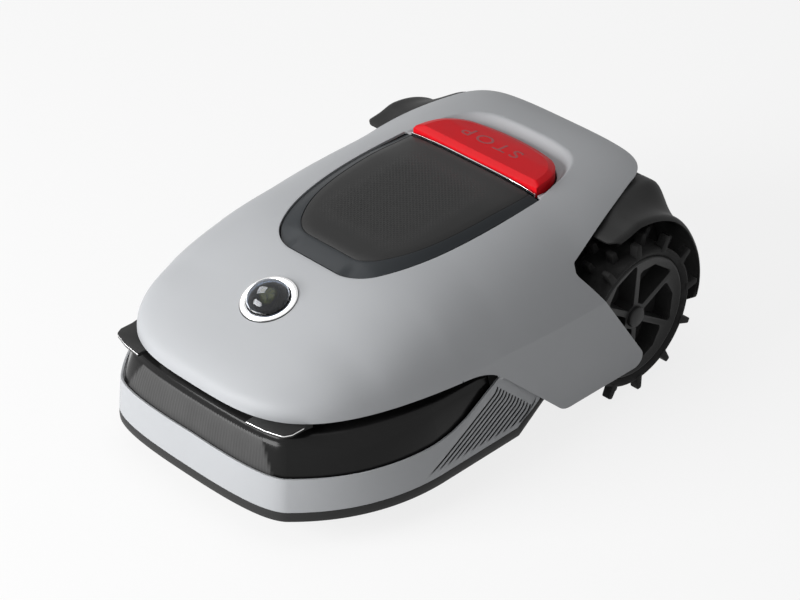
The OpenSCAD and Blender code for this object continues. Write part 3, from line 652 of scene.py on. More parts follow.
lip_plan = spread(lip_line, COLUMNS["nose"])
lip_net = np.array([level(lip_plan, LIP + rise) for rise in LIP_RISES])
wing_top = spread(crease_line, COLUMNS["crease"])
wing_top = np.stack([wing_top[:, 1], brim_z(wing_top[:, 1])], -1)
wing_low = spread(between(side_view_line, WING_START, crease_end), COLUMNS["crease"])
wing_low[-1] = wing_top[-1]
wing_tall = np.linalg.norm(wing_top - wing_low, axis=1)
wing_rises = np.concatenate([LIP_RISES, np.arange(6, wing_tall.max() + WING_ROW, WING_ROW)])
wing_share = np.minimum(wing_rises[:, None] / np.maximum(wing_tall, 0.001), 1)
wing_side = wing_low + (wing_top - wing_low) * wing_share[..., None]
wing_net = np.concatenate([cover_x(wing_side[..., 0], wing_side[..., 1])[..., None], wing_side], -1)

SCOOP_FLOOR = 248.5
scoop_top = inner[-SCOOP_COLUMNS:]
scoop_low = spread(outset(stop_line, LID_GAP), SCOOP_COLUMNS)
scoop_low[-1, 0] = 0
scoop_plan = fan(scoop_top, scoop_low, SCOOP_ROWS)
sink = eased(np.linspace(0, 1, SCOOP_ROWS), [(0, 0), (0.75, 1)])[:, None]
start_depth = eased(scoop_plan[..., 1], [(LID_REAR, 0.3), (160, 1)])
scoop_net = on_cover(scoop_plan)
scoop_net[..., 2] += (SCOOP_FLOOR - scoop_net[..., 2]) * sink * start_depth

SCANNER = np.array([0, -192, 210.9])
SCANNER_TILT = math.radians(18.5)
SEAT_HOLE = 31
scanner_up = np.array([0, -math.sin(SCANNER_TILT), math.cos(SCANNER_TILT)])


def clear_of_scanner(centres):
    """Which faces stay: those outside the round hole where the scanner sits."""
    away = centres - SCANNER
    along = away @ scanner_up
    return np.linalg.norm(away - along[:, None] * scanner_up, axis=1) > SEAT_HOLE


half_cover = [top_net, lip_net, wing_net, scoop_net]
cover = piece(
    "cover", half_cover + on_side(half_cover, "right"), shell_grey, "chassis", "shell_grey",
    replaces=["top_cover"], keep=clear_of_scanner,
)
walled(cover, wall=3, round_edge=0.9)
print("cover:", len(cover.data.polygons), "faces")

# %% [markdown]
# ## The lid
# A charcoal lid closes the control bay. It follows the cover's crown and stands a little above it in
# front, where its corners dip, so that they swing clear of the cover. Its border falls away towards the
# edge, and a fine groove parts it from the panel. Both are made of rings: the outline drawn again and
# again, each time further in, down to a point in the middle.


# %% Lid rings and the two lid pieces
LID_MIDDLE = np.array([0, 20])
LID_RISE = [(60, 2.3), (122, 0)]
CORNER_DIP = 2.2
CORNER_ASIDE = [(34, 0), (52, 1)]
CORNER_AHEAD = [(-114, 1), (-98, 0)]
EDGE_DROP = 3.5
BORDER = [
    (0, 1), (0.04, 0.97), (0.15, 0.86), (0.3, 0.68), (0.5, 0.44), (0.7, 0.22), (0.85, 0.08), (0.97, 0),
]
BORDER_TOP = 0.2
GROOVE_OUT = 0.5
GROOVE_FLOOR = 1.7
PANEL_UNDER = 1.6
PANEL_EDGE = [(0.05, 0.8), (0.25, 0.45), (0.7, 0.3)]


def both_halves(half):
    """A closed ring from its left half, which runs from the front to the rear middle line."""
    return np.vstack([half, (half * np.array([-1, 1]))[-2:0:-1]])


def lid_ring(part, inset=0.0):
    """A ring in plan between the lid's edge (part 0) and the panel's edge (part 1), or further in."""
    side = lid_line + (panel_line - lid_line) * part
    rear = side[-1, 1] - inset
    side = outset(side, -inset)
    side = np.vstack([side[side[:, 1] < rear], [(side[-1, 0], rear)]])
    side[0, 0] = 0
    back = np.array([side[-1], (0, rear)])
    return both_halves(joined(spread(side, 120), spread(back, 24)))


def crown_rings(rings):
    """A net of rings given as (plan ring, depth below the lid's top), with the front corners dipped."""
    lifted = []
    for ring, depth in rings:
        points = on_cover(ring)
        corner = eased(np.abs(points[..., 0]), CORNER_ASIDE) * eased(points[..., 1], CORNER_AHEAD)
        points[..., 2] += eased(points[..., 1], LID_RISE) - CORNER_DIP * corner - depth
        lifted.append(points)
    return np.array(lifted)


def shrunk(ring, share, middle=LID_MIDDLE):
    """A ring drawn in towards its middle."""
    return middle + (ring - middle) * share


border_rings = [(lid_ring(part), BORDER_TOP + EDGE_DROP * fall) for part, fall in BORDER]
groove = lid_ring(1, -GROOVE_OUT)
floor_rings = [(shrunk(groove, share), GROOVE_FLOOR) for share in (1, 0.8, 0.6, 0.4, 0.2, 0)]
lid_shell = piece(
    "lid_shell_top", [crown_rings(border_rings + floor_rings)], lid_charcoal, "lid", "lid_charcoal",
    replaces=["lid_shell"], closed=True,
)
walled(lid_shell, wall=2.2, round_edge=0.5)

panel_rings = [(shrunk(lid_ring(1), share), PANEL_UNDER) for share in (0, 0.5, 1)]
panel_rings += [(lid_ring(1, inset), depth) for inset, depth in PANEL_EDGE]
top_inset, top_depth = PANEL_EDGE[-1]
panel_rings += [(shrunk(lid_ring(1, top_inset), share), top_depth) for share in np.linspace(0.9, 0, 10)]
lid_panel = piece(
    "lid_panel_top", [crown_rings(panel_rings)], lid_charcoal, "lid", "lid_weave",
    replaces=["lid_panel"], closed=True,
)
settle(lid_panel, sharp=60)
print("lid:", len(lid_shell.data.polygons) + len(lid_panel.data.polygons), "faces")

# %% [markdown]
# ## Woven relief on the lid
# The middle of the panel has a fine relief of short dashes, set like bricks, that fades out before it
# reaches the groove. It is far too fine for geometry, so the finish draws it: the place on the panel
# is divided into cells, every second row is moved by half a cell, and each cell holds one dash.


# %% Weave finish
DASH_PITCH = 5.4
ROW_PITCH = 2.6


def weave(name):
    """Charcoal with sunk dashes that fade out towards the groove."""
    material, shader, start, place = start_finish(name, Specular_IOR_Level=0.14)
    x = start.node("ShaderNodeSeparateXYZ", None, {0: place}, output=0) / MM
    y = start.node("ShaderNodeSeparateXYZ", None, {0: place}, output=1) / MM
    row = y / ROW_PITCH
    shifted = x / DASH_PITCH + start.math("FLOOR", row) * 0.5
    along = start.math("FRACT", shifted)
    across = start.math("FRACT", row)
    dash = (1 - abs(along - 0.5).between(0.26, 0.36)) * (1 - abs(across - 0.5).between(0.16, 0.32))
    fade = (1 - abs(x).between(38, 82)) * y.between(-78, -30) * (1 - y.between(70, 118))
    relief = dash * fade
    grains = noise(start, place, 0.6, detail=3)
    feed(
        shader,
        Base_Color=relief.mix((0.014, 0.017, 0.020, 1), (0.003, 0.003, 0.002, 1)) * (1 + fade * 0.35),
        Roughness=0.36 + relief * 0.18 + (grains - 0.5) * 0.06,
        Normal=bump(start, grains * 0.05 - relief, 0.35),
    )
    return material


lid_panel.data.materials[0] = weave("lid_weave")
print("weave: dashes every", DASH_PITCH, "mm")

# %% [markdown]
# ## The stop button
# The wide red bar behind the lid is the stop button. In plan it is a flat D, its front has a broad
# bevel that catches the light, and its top falls to the rear. The same rings make it, this time with
# their own side view for the height. Its word is set in plain letters for a reader behind it, and stands
# a hair above the top.


# %% Stop button
STOP_LOW = 248
STOP_MIDDLE = np.array([0, 168])
STOP_TOP = np.array([(STOP_FRONT, 264.6), (150, 264.4), (175, 263.6), (195, 261.4), (212, 258)])
BEVEL_WIDE = 8.5
FRONT_BEVEL = 4.4
SIDE_BEVEL = 2.2
STOP_EDGE = [(0, 0.7), (0.2, 0.2), (0.6, 0)]
STOP_INSETS = (3, 6, 8.2, 8.5, 8.8, 11)


def stop_ring(inset):
    """The button's outline in plan, drawn in by a distance."""
    front = STOP_FRONT + inset
    side = outset(stop_line, -inset)
    side = side[side[:, 1] > front]
    side[-1, 0] = 0
    edge = np.array([(0, front), (side[0, 0], front)])
    return both_halves(joined(spread(edge, 40), spread(np.vstack([edge[-1:], side]), 70)))


def stop_top(ring, inset, drop=0.0):
    """Heights of a ring on the bar's top, with a steep bevel in front and a flat one round the rest."""
    y = ring[:, 1]
    front = FRONT_BEVEL * np.clip(1 - (y - STOP_FRONT) / BEVEL_WIDE, 0, 1)
    side = SIDE_BEVEL * max(1 - inset / BEVEL_WIDE, 0)
    return np.column_stack([ring, np.interp(y, *STOP_TOP.T) - np.maximum(front, side) - drop])


stop_rows = [level(shrunk(stop_ring(0), share, STOP_MIDDLE), STOP_LOW) for share in (0, 1)]
stop_rows += [stop_top(stop_ring(inset), inset, drop) for inset, drop in STOP_EDGE]
stop_rows += [stop_top(stop_ring(inset), inset) for inset in STOP_INSETS]
stop_heart = stop_ring(STOP_INSETS[-1])
for share in (0.8, 0.6, 0.4, 0.2, 0):
    stop_rows.append(stop_top(shrunk(stop_heart, share, STOP_MIDDLE), BEVEL_WIDE))
stop_bar = piece(
    "stop_bar", [np.array(stop_rows)], stop_red, "stop", "stop_red",
    replaces=["stop_button"], closed=True,
)
settle(stop_bar, sharp=25)

WORD_SIZE = 25
WORD_WIDE = 1.3
WORD_PLACE = Vector((-5, 173, 263.66)) * MM
WORD_TILT = math.radians(2.6)
WORD_RAISED = 0.12
word = bpy.data.curves.new("stop_word", "FONT")
word.body = "STOP"
word.size = WORD_SIZE * MM
word.align_x = "CENTER"
word.align_y = "CENTER"
word.space_character = 1.3
word.extrude = WORD_RAISED * MM
word.offset = 0.1 * MM
lettering = bpy.data.objects.new("stop_word_curve", word)
bpy.context.scene.collection.objects.link(lettering)
lettering.location = WORD_PLACE
lettering.scale = (WORD_WIDE, 1, 1)
lettering.rotation_euler = (WORD_TILT, 0, math.pi)
bpy.context.view_layer.update()
word_mesh = bpy.data.meshes.new_from_object(lettering.evaluated_get(bpy.context.evaluated_depsgraph_get()))
word_mesh.transform(lettering.matrix_world)
bpy.data.objects.remove(lettering)
word_red = glossy("word_red", (0.30, 0.006, 0.012, 1), 0.4)
word_mesh.materials.clear()
dress("stop_word", word_mesh, word_red, "stop")
print("stop button:", len(stop_bar.data.polygons), "faces")

# %% [markdown]
# ## The bumper
# The bumper is a sprung skirt: a dark rubbing strip, a pale band, and above it a glossy window that
# hides the sensors. All three follow one line in plan, so a single function gives a point on that
# line, moved in by any distance. The pieces then only say how far in they are at each height.


# %% The skirt's line
SKIRT_SIDE = 213
CORNER = np.array([143.5, NOSE + 21])
SIDE_START = -130
SIDE_END = np.array([209.5, 50])
BAND_LEAN = ([0, 1.5, 2, 2.5, 3], [7, 2, 3, 5, 4])


def skirt(s, inset):
    """Plan points of the skirt: nose, corner and side as s goes from 0 to 3."""
    s, inset = np.broadcast_arrays(np.asarray(s, float), np.asarray(inset, float))
    i = inset[..., None]
    corner = CORNER + np.array([-0.7, 0.7]) * i
    inward = np.array([-1, 0]) * i
    nose = [
        np.array([0, NOSE]) + np.array([0, 1]) * i, np.array([60, NOSE]) + np.array([-0.25, 1]) * i,
        np.array([124, NOSE + 1.5]) + np.array([-0.5, 1]) * i, corner,
    ]
    turn = [
        corner, np.array([175, NOSE + 52.5]) + np.array([-0.9, 0.6]) * i,
        np.array([SKIRT_SIDE, -215]) + inward, np.array([SKIRT_SIDE, SIDE_START]) + inward,
    ]
    side = np.array([SKIRT_SIDE, SIDE_START]) + inward
    side = side + (s[..., None] - 2) * (SIDE_END - np.array([SKIRT_SIDE, SIDE_START]))
    bent = np.where((s < 1)[..., None], cubic(nose, np.clip(s, 0, 1)), cubic(turn, np.clip(s - 1, 0, 1)))
    return np.where((s > 2)[..., None], side, bent)


def lean(s):
    """How far the band's head stands in from its foot."""
    return np.interp(s, *BAND_LEAN)


fine = np.linspace(0, 3, 3001)
fine_line = skirt(fine, 0)
fine_length = np.concatenate([[0], np.cumsum(np.linalg.norm(np.diff(fine_line, axis=0), axis=1))])


def even_steps(first, last, count):
    """Values of s that are evenly spaced along the skirt."""
    ends = np.interp([first, last], fine, fine_length)
    return np.interp(np.linspace(*ends, count), fine_length, fine)


def s_at(y):
    """Where on the corner or the side the skirt is at a given y."""
    rear = fine >= 1
    return np.interp(y, fine_line[rear, 1], fine[rear])


print("skirt:", round(2 * fine_length[-1]), "mm round")

# %% [markdown]
# ## Band and slats
# Twelve grooves are cut into the band's sides, parallel, rising to the rear and fading into the band at
# their lower ends. A net whose columns already run along the grooves needs few points to show them
# crisply, so the columns turn from upright at the nose to the grooves' slope at the side.


# %% Band
BAND_LOW = [(-2, 48), (50, 81)]
BAND_HIGH = [(-160, 90), (-133, 90.5), (-106, 94), (-79, 103), (-57, 114), (-32, 130), (-18, 132), (50, 90)]
SLAT_SLOPE = math.radians(26.7)
HOOK_SLOPE = math.radians(64)
SLAT_RUN = np.array([math.cos(SLAT_SLOPE), math.sin(SLAT_SLOPE)])
HOOK_RUN = np.array([math.cos(HOOK_SLOPE), math.sin(HOOK_SLOPE)])
HOOK_LONG = 7.5
BEND_BEFORE = 7
BEND_AFTER = 4
SLAT_TOP = np.array([-38.5, 111])
SLAT_STEP = np.array([4.9, -4.5])
SLAT_PITCH = abs(SLAT_STEP[0] * SLAT_RUN[1] - SLAT_STEP[1] * SLAT_RUN[0])
SLAT_COUNT = 12
SLAT_FOOT = 52
GROOVE_DEPTH = 6.0
GROOVE_FLANK = [(1.1, 1), (1.7, 0)]
GROOVE_COLUMNS = [-2.9, -2.0, -1.7, -1.4, -1.1, -0.5, 0.5, 1.1, 1.4, 1.7, 2.0, 2.9]
BAND_ROWS = 110


def band_low(y):
    """Height of the band's foot."""
    return np.interp(y, *np.array(BAND_LOW).T)


def band_high(y):
    """Height of the band's head."""
    return np.interp(y, *np.array(BAND_HIGH).T)


def slat_column(offset):
    """Points of a column along the slats, from the band's foot to its head, and the depth at each."""
    number = offset / SLAT_PITCH
    top = SLAT_TOP + number * SLAT_STEP
    straight = top - np.linspace(240, BEND_BEFORE, 900)[:, None] * SLAT_RUN
    hook = top + np.linspace(BEND_AFTER, 90, 300)[:, None] * HOOK_RUN
    bend = cubic([straight[-1], top - 2 * SLAT_RUN, top + HOOK_RUN, hook[0]], np.linspace(0, 1, 20))
    line = joined(straight, bend, hook)
    y, z = line.T
    line = line[(z > band_low(y)) & (z < band_high(y)) & (y < SIDE_END[1])]
    points = spread(line, BAND_ROWS)
    groove = np.clip(round(number), 0, SLAT_COUNT - 1)
    away = abs(number - groove) * SLAT_PITCH
    above = np.sign((points - top) @ SLAT_RUN) * np.linalg.norm(points - top, axis=1)
    foot = (top[1] - SLAT_FOOT) / SLAT_RUN[1]
    rising = eased(above, [(-foot, 0), (-0.6 * foot, 1)])
    ending = eased(above, [(HOOK_LONG - 2.5, 1), (HOOK_LONG, 0)])
    return points, GROOVE_DEPTH * rising * ending * float(eased(away, GROOVE_FLANK))


offsets = [-26.0, -21.0, -16.0, -12.0, -8.0, -5.0]
offsets += [n * SLAT_PITCH + c for n in range(SLAT_COUNT) for c in GROOVE_COLUMNS]
offsets += [offsets[-1] + c for c in (2, 4, 6, 8)]
side_columns = [slat_column(offset) for offset in offsets]
share = np.linspace(0, 1, BAND_ROWS)
first = side_columns[0][0]
PLAIN_COLUMNS = 90
low_s = even_steps(0, s_at(first[0, 0]), PLAIN_COLUMNS)[:-1]
high_s = even_steps(0, s_at(first[-1, 0]), PLAIN_COLUMNS)[:-1]
columns = []
depths = []
for low, high in zip(low_s, high_s):
    foot_z = band_low(skirt(low, 0)[1])
    head_z = band_high(skirt(high, 0)[1])
    columns.append(np.column_stack([low + (high - low) * share, foot_z + (head_z - foot_z) * share]))
    depths.append(np.zeros(BAND_ROWS))
for points, depth in side_columns:
    columns.append(np.column_stack([s_at(points[:, 0]), points[:, 1]]))
    depths.append(depth)
columns = np.array(columns).transpose(1, 0, 2)
depths = np.array(depths).T
band_inset = lean(columns[..., 0]) * share[:, None] ** 1.15
band_net = np.concatenate([skirt(columns[..., 0], band_inset + depths), columns[..., 1:]], -1)

# painted shade: the band's grooves darken to black where they are 0.36 to 1.2 mm deep
band_grey = plastic("band_grey", SHELL, 0.5, cloud=0.02, painted_shade_below=1.2, **SATIN)
band = piece(
    "bumper_band_skin", [band_net, mirrored(band_net)], band_grey, "bumper", "shell_grey",
    replaces=["bumper_band"], marks=[depths, depths[:, ::-1]],
)
walled(band, wall=2.6, round_edge=0.7)
print("band:", len(band.data.polygons), "faces,", SLAT_COUNT, "grooves a side")

# %% [markdown]
# ## Strip and window
# The strip is a plain rounded bead under the band. The window leans back behind the band and turns in under
# the cover. Fine upright ribs run along its face and end at a slanted fold on each side. The ribs are real
# relief, eight points to a rib, and where they are the dark gloss gets a paler grey, a painted sheen of the
# front light.


# %% Strip and window
STRIP_TALL = ([0, 40], [13, 10])
STRIP_SIDE = [
    (6, 1), (0.9, 1), (0.3, 0.98), (0, 0.93), (-0.4, 0.5), (0, 0.1), (0.4, 0.02), (1.2, 0), (6, 0), (6, 1),
]
strip_s = even_steps(0, 3, 180)
strip_y = skirt(strip_s, 0)[:, 1]
strip_top = band_low(strip_y)
strip_tall = np.interp(strip_y, *STRIP_TALL)
strip_net = np.array([
    np.column_stack([skirt(strip_s, inset), strip_top - strip_tall * down]) for inset, down in STRIP_SIDE
])
strip = piece(
    "bumper_strip_bead", [strip_net, mirrored(strip_net)], strip_rubber, "bumper", "strip_rubber",
    replaces=["bumper_strip"],
)
settle(strip, sharp=50)

RIB_PITCH = 4.5
RIB_POINTS = 8
RIB_DEPTH = 0.35
RIB_FADE = 0.012
RIB_END = (0.82, 0.66)
WINDOW_LAST = 2.5
WINDOW_BEHIND = 3.6
WINDOW_BULGE = 1.2
WINDOW_HEAD = ([1, 2], [20, 14])
WINDOW_SIDE = [
    (0, 0, 84), (0.25, 0, 94), (0.5, 0, 104), (0.75, 0, 114), (0.93, 0, 121), (0.985, 0.3, 123.2),
    (1, 1.2, 124.5), (1, 2.2, 127.5), (1, 3.2, 130.5), (1, 4.4, 131.8), (1, 10, 135), (1, 17, 139.5),
    (1, 20.5, 141.5), (1, 24, 144),
]
window_length = float(np.interp(WINDOW_LAST, fine, fine_length))
window_s = even_steps(0, WINDOW_LAST, int(window_length / RIB_PITCH * RIB_POINTS))
rib_wave = np.abs(np.sin(np.pi * np.interp(window_s, fine, fine_length) / RIB_PITCH))
edge_inset = np.interp(window_s, *WINDOW_HEAD)
foot_inset = lean(window_s) + WINDOW_BEHIND
window_rows = []
ribbed = []
for part, extra, z in WINDOW_SIDE:
    end = RIB_END[0] + (RIB_END[1] - RIB_END[0]) * part
    ribbed.append(eased(window_s, [(end - RIB_FADE, 1), (end + RIB_FADE, 0)]) * float(part < 1))
    relief = rib_wave * ribbed[-1] * RIB_DEPTH
    bulge = WINDOW_BULGE * math.sin(math.pi * part)
    inset = foot_inset + (edge_inset - foot_inset) * part + extra - bulge + relief
    window_rows.append(level(skirt(window_s, inset), z))
window_net = np.array(window_rows)
ribbed = np.array(ribbed)


def ribbed_window(name):
    """Dark gloss, with a paler grey painted on the ribbed front as a painted sheen of the front light."""
    material, shader, start, place = start_finish(name, Specular_IOR_Level=0.16)
    ribs = start.node("ShaderNodeAttribute", {"attribute_name": "depth"}, output=2)
    haze = noise(start, place, 30, detail=3)
    # painted sheen: the ribbed front gets a paler grey where the front light falls, and the sides and ledge
    # stay black
    painted_sheen = haze.mix(grey(0.055), grey(0.07))
    feed(shader, Base_Color=ribs.mix(grey(0.008), painted_sheen), Roughness=0.16 + ribs * 0.2 + haze * 0.04)
    return material


window = piece(
    "bumper_window_skin", [window_net, mirrored(window_net)], ribbed_window("ribbed_window"), "bumper",
    "dark_window", replaces=["bumper_window"], marks=[ribbed, ribbed[:, ::-1]],
)
walled(window, wall=1.2, round_edge=0.3)
print("window:", len(window.data.polygons), "faces, a rib every", RIB_PITCH, "mm")

# %% [markdown]
# ## The scanner
# The eye on the nose is a clear dome in a bright ring, with a core that spins behind it. A black collar
# round the ring's foot is painted shade: it shows as the dark gap under the raised ring. Ring, collar and
# dome are turned shapes, so a side view is swept round an axis. The dome has a real wall, because glass
# needs two surfaces to bend light as a thin dome does. The core keeps its solid and gets a finish with a
# dim olive glow.


# %% Ring, seat and dome
def turned(side, steps, place, up, across):
    """Sweep a side view of (radius, height) points round an axis."""
    angle = np.linspace(0, 2 * math.pi, steps, endpoint=False)
    third = np.cross(up, across)
    round_it = np.cos(angle)[:, None] * across + np.sin(angle)[:, None] * third
    return np.array([place + r * round_it + z * np.asarray(up, float) for r, z in side])


def scanner_turned(side, steps=128):
    return turned(side, steps, SCANNER, scanner_up, np.array([1.0, 0, 0]))


RING_SIDE = [
    (25.7, -3), (33.2, -3), (33.2, 0.5), (33.8, 0.7), (34.1, 1.2), (33.8, 1.8), (33, 2.2), (30, 2.5),
    (27, 2.1), (26.2, 1.8), (25.7, 1.2), (25.7, -3),
]
# painted shade: a black collar round the ring's foot, standing for the shadow in the gap under the raised
# ring
SHADE_COLLAR_SIDE = [(33.3, -4), (34.9, -4), (34.9, -0.4), (34.6, 0), (33.3, 0.2), (33.3, -4)]
ring = piece(
    "scanner_bright_ring", [scanner_turned(RING_SIDE)], bright_metal, "chassis", "bright_metal",
    replaces=["scanner_ring"], closed=True,
)
settle(ring, sharp=50)
# painted shade: the black collar draws the shadow gap under the ring
shade_collar = piece(
    "scanner_shade_collar", [scanner_turned(SHADE_COLLAR_SIDE)], black_plastic, "chassis", "black_plastic", closed=True,
)
settle(shade_collar, sharp=50)
DOME_R = 25.2
DOME_RISE = 18
DOME_WALL = 1.6
DOME_FOOT = -3
DOME_START = 2


def dome_arc(inset):
    """The dome's side view from its edge to its top, drawn in by a distance."""
    arc = np.radians(np.linspace(0, 90, 25))
    return [((DOME_R - inset) * math.cos(a), DOME_START + (DOME_RISE - inset) * math.sin(a)) for a in arc]


inner_foot = (DOME_R - DOME_WALL, DOME_FOOT)
dome_side = [inner_foot, (DOME_R, DOME_FOOT), *dome_arc(0), *dome_arc(DOME_WALL)[::-1], inner_foot]
dome = piece(
    "scanner_clear_dome", [scanner_turned(dome_side)], dome_glass, "chassis", "dome_glass",
    replaces=["scanner_dome"], closed=True,
)
settle(dome, sharp=60)
CORE_EYE = 10


def core_finish(name):
    """Black, with an olive glow round the middle of the core."""
    material, shader, start, place = start_finish(name, Specular_IOR_Level=0.1)
    eye = (SCANNER + CORE_EYE * scanner_up) * MM
    ends = {0: place, 1: tuple(eye)}
    away = start.node("ShaderNodeVectorMath", {"operation": "DISTANCE"}, ends, output=1)
    mottle = noise(start, place, 4, detail=3)
    glow = (1 - (away / MM).between(7, 14)) * mottle.between(0.2, 0.6)
    feed(shader, Base_Color=glow.mix(grey(0.004), (0.6, 0.58, 0.09, 1)), Roughness=0.4 + mottle * 0.2)
    return material


core_plastic = core_finish("core_olive")
print("scanner: ring and dome,", len(ring.data.polygons) + len(dome.data.polygons), "faces")

# %% [markdown]
# ## Fenders
# A black fender stands over each driven wheel. Its lip is rolled and follows the tyre, dips towards the
# tyre at the front, and the body behind it swells in an S to the boxy rear housing. Its inner end turns
# down in a flange, so no gap shows at the housing. Polar coordinates about the axle suit it best: for
# each angle a radius, for each step inward a share of the swell.


# %% Fenders
WHEEL_Y = 199
WHEEL_Z = 104
FENDER_FACE = 206
HOUSING_X = 134
HOUSING_REACH = (99, 134)
FENDER_FRONT = 111
FENDER_BACK = -12
FENDER_INSIDE = 8
FENDER_STEPS = 80
SWELL = [(150, 1), (192, 0)]
FLANGE = (112, 96)
FENDER_LIP = [
    (-26, 120.5), (-12, 121.5), (-4, 122.5), (26, 122), (62, 126.5), (88, 126.5), (100, 123), (111, 125),
]
LIP_ROLL = 7
ROLL_WIDE = 8
ROLL_ROUND = 8.2


def round_axle(x, radius, angle):
    """Points at one x, given by their distance and angle from the axle."""
    side = [WHEEL_Y + radius * np.cos(angle), WHEEL_Z + radius * np.sin(angle)]
    return np.column_stack([np.full(len(angle), x), *side])


def near_face(x, width):
    """Goes from 0 to 1 over the last stretch before the fender's outer face."""
    return max((x - FENDER_FACE + width) / width, 0)


def housing_reach(angle):
    """How far the housing's rounded box reaches from the axle."""
    a, b = HOUSING_REACH
    return ((np.abs(np.cos(angle)) / a) ** 8 + (np.abs(np.sin(angle)) / b) ** 8) ** (-1 / 8)


fender_rows = []
for u in np.linspace(0, 1, 44) ** 1.5:
    x = FENDER_FACE - u * (FENDER_FACE - HOUSING_X - 1)
    front = FENDER_FRONT - 5 * near_face(x, 13) ** 2
    back = FENDER_BACK + 3 * near_face(x, 5) ** 2 - FENDER_INSIDE * min(3 * u, 1)
    degrees = np.linspace(front, back, FENDER_STEPS)
    angle = np.radians(degrees)
    lip = eased(degrees, FENDER_LIP)
    swell = float(eased(x, SWELL)) * np.interp(degrees, [80, 105], [1, 0])
    rolled = near_face(x, ROLL_WIDE) * ROLL_WIDE / ROLL_ROUND
    roll = LIP_ROLL * (1 - math.sqrt(1 - rolled**2))
    radius = lip + np.maximum(housing_reach(angle) - lip, 0) * swell - roll
    fender_rows.append(round_axle(x, radius, angle))
for reach in FLANGE:
    radius = np.minimum(radius, reach)
    fender_rows.append(round_axle(x, radius, angle))
fender_net = np.array(fender_rows)
for side in ("left", "right"):
    fender = piece(
        f"fender_skin_{side}", on_side([fender_net], side), black_plastic, "chassis", "black_plastic",
        replaces=[f"fender_{side}"],
    )
    walled(fender, wall=2.6, round_edge=0.6)
print("fenders:", len(fender.data.polygons), "faces each")

# %% [markdown]
# ## Rear housing
# Between the fenders sits a black box with rounded edges and four vent slots in its back. Its side view
# is the same rounded box that the fenders swell to. It is a sheet over the top and back with two side
# walls, and the slots are cut through once the sheet has its wall.


# %% Rear housing
HOUSING_FRONT = 140
HOUSING_FOOT = 118
HOUSING_ROUND = [(0, 3.2), (0.9, 0.9), (3.2, 0)]
VENT_LEVELS = np.arange(168, 196, 9)
VENT_TALL = 4
VENT_HALF = 60
VENT_ROUND = 1.9
VENT_CUT = (280, 310)

over = np.radians(np.linspace(6, 120, 80))
side_view = round_axle(0, housing_reach(over), over)[:, 1:]
side_view = side_view[(side_view[:, 0] > HOUSING_FRONT) & (side_view[:, 1] > HOUSING_FOOT)]
housing_heart = np.array([HOUSING_FRONT + 50, HOUSING_FOOT + 30])


def housing_row(x, inset):
    """The side view at one x, drawn in towards the middle by a distance."""
    away = side_view - housing_heart
    line = side_view - away / np.linalg.norm(away, axis=1)[:, None] * inset
    return np.column_stack([np.full(len(line), x), line])


def facing_rear(points):
    """Stand a drawing up, so that it faces the rear."""
    return points[:, [0, 2, 1]]


stations = [(-HOUSING_X + run, inset) for run, inset in HOUSING_ROUND]
stations += [(x, 0) for x in np.linspace(-120, 120, 9)]
stations += [(HOUSING_X - run, inset) for run, inset in HOUSING_ROUND[::-1]]
housing_net = np.array([housing_row(x, inset) for x, inset in stations])
caps = []
for edge in (housing_net[0], housing_net[-1]):
    corner = np.array([edge[0, 0], HOUSING_FRONT, HOUSING_FOOT])
    caps.append(np.array([edge + (corner - edge) * share for share in np.linspace(0, 1, 8)]))
housing = piece(
    "rear_housing_shell", [housing_net, *caps], black_plastic, "chassis", "black_plastic",
    replaces=["rear_housing"],
)
walled(housing, wall=2.6, round_edge=0.4)
vent_corners = [(-VENT_HALF, 0), (-VENT_HALF, VENT_TALL), (VENT_HALF, VENT_TALL), (VENT_HALF, 0)]
vent_line = filleted([(0, 0, 0), *[(*corner, VENT_ROUND) for corner in vent_corners], (0, 0, 0)])[:-1]
vents = [prism(vent_line + np.array([0, z]), *VENT_CUT, facing_rear) for z in VENT_LEVELS]
carved(housing, vents, round_edge=0.3)
print("rear housing:", len(housing.data.polygons), "faces,", len(VENT_LEVELS), "vents")

# %% [markdown]
# ## Charging contacts
# Two black plates stick out under the cover's lip, one at each front corner. A thin bright strip runs
# round the front edge of each and meets the charging station. The plate is an outline with a thickness,
# and the strip is the same outline again, a touch further out.


# %% Contact plates and strips
PLATE_Z = (145, 150)
STRIP_LOW = 147.6
STRIP_HIGH = 148.8
STRIP_OUT = 0.5
STRIP_IN = 0.6
plate_front = filleted([
    (91, -310, 0), (117, -307, 30), (139.5, -300, 7), (144, -291, 6), (144, -274, 0),
])
plate_back = np.array([(146, -262), (118, -270), (90, -288)], float)
plate_line = np.vstack([plate_front, plate_back])
strip_run = spread(plate_front, 60)
strip_out = outset(strip_run, STRIP_OUT)
strip_in = outset(strip_run, -STRIP_IN)
edge_net = np.array([
    level(strip_out, STRIP_LOW), level(strip_in, STRIP_LOW), level(strip_in, STRIP_HIGH),
    level(strip_out, STRIP_HIGH), level(strip_out, STRIP_LOW),
])
for side in ("left", "right"):
    plate = piece(
        f"contact_plate_{side}", on_side([prism(plate_line, *PLATE_Z)], side), black_plastic, "chassis",
        "black_plastic", replaces=[f"contact_shelf_{side}"], closed=True,
    )
    rounded(plate, 0.6)
    settle(plate)
    piece(
        f"contact_edge_{side}", on_side([edge_net], side), bright_metal, "chassis", "bright_metal",
        replaces=[f"contact_strip_{side}"],
    )
print("contact plates: 2, each", round(float(plate_line[:, 0].max() - plate_line[:, 0].min())), "mm wide")

# %% [markdown]
# ## Driven wheels
# The tyre is a turned ring with four rows of lugs, every second row moved round so that the lugs
# interlock. The rim is a turned disc with six deep pockets, which leave six spokes. Pockets are simplest
# as cuts: six prisms are taken out of the disc, and a bevel rounds every edge that the cut leaves.


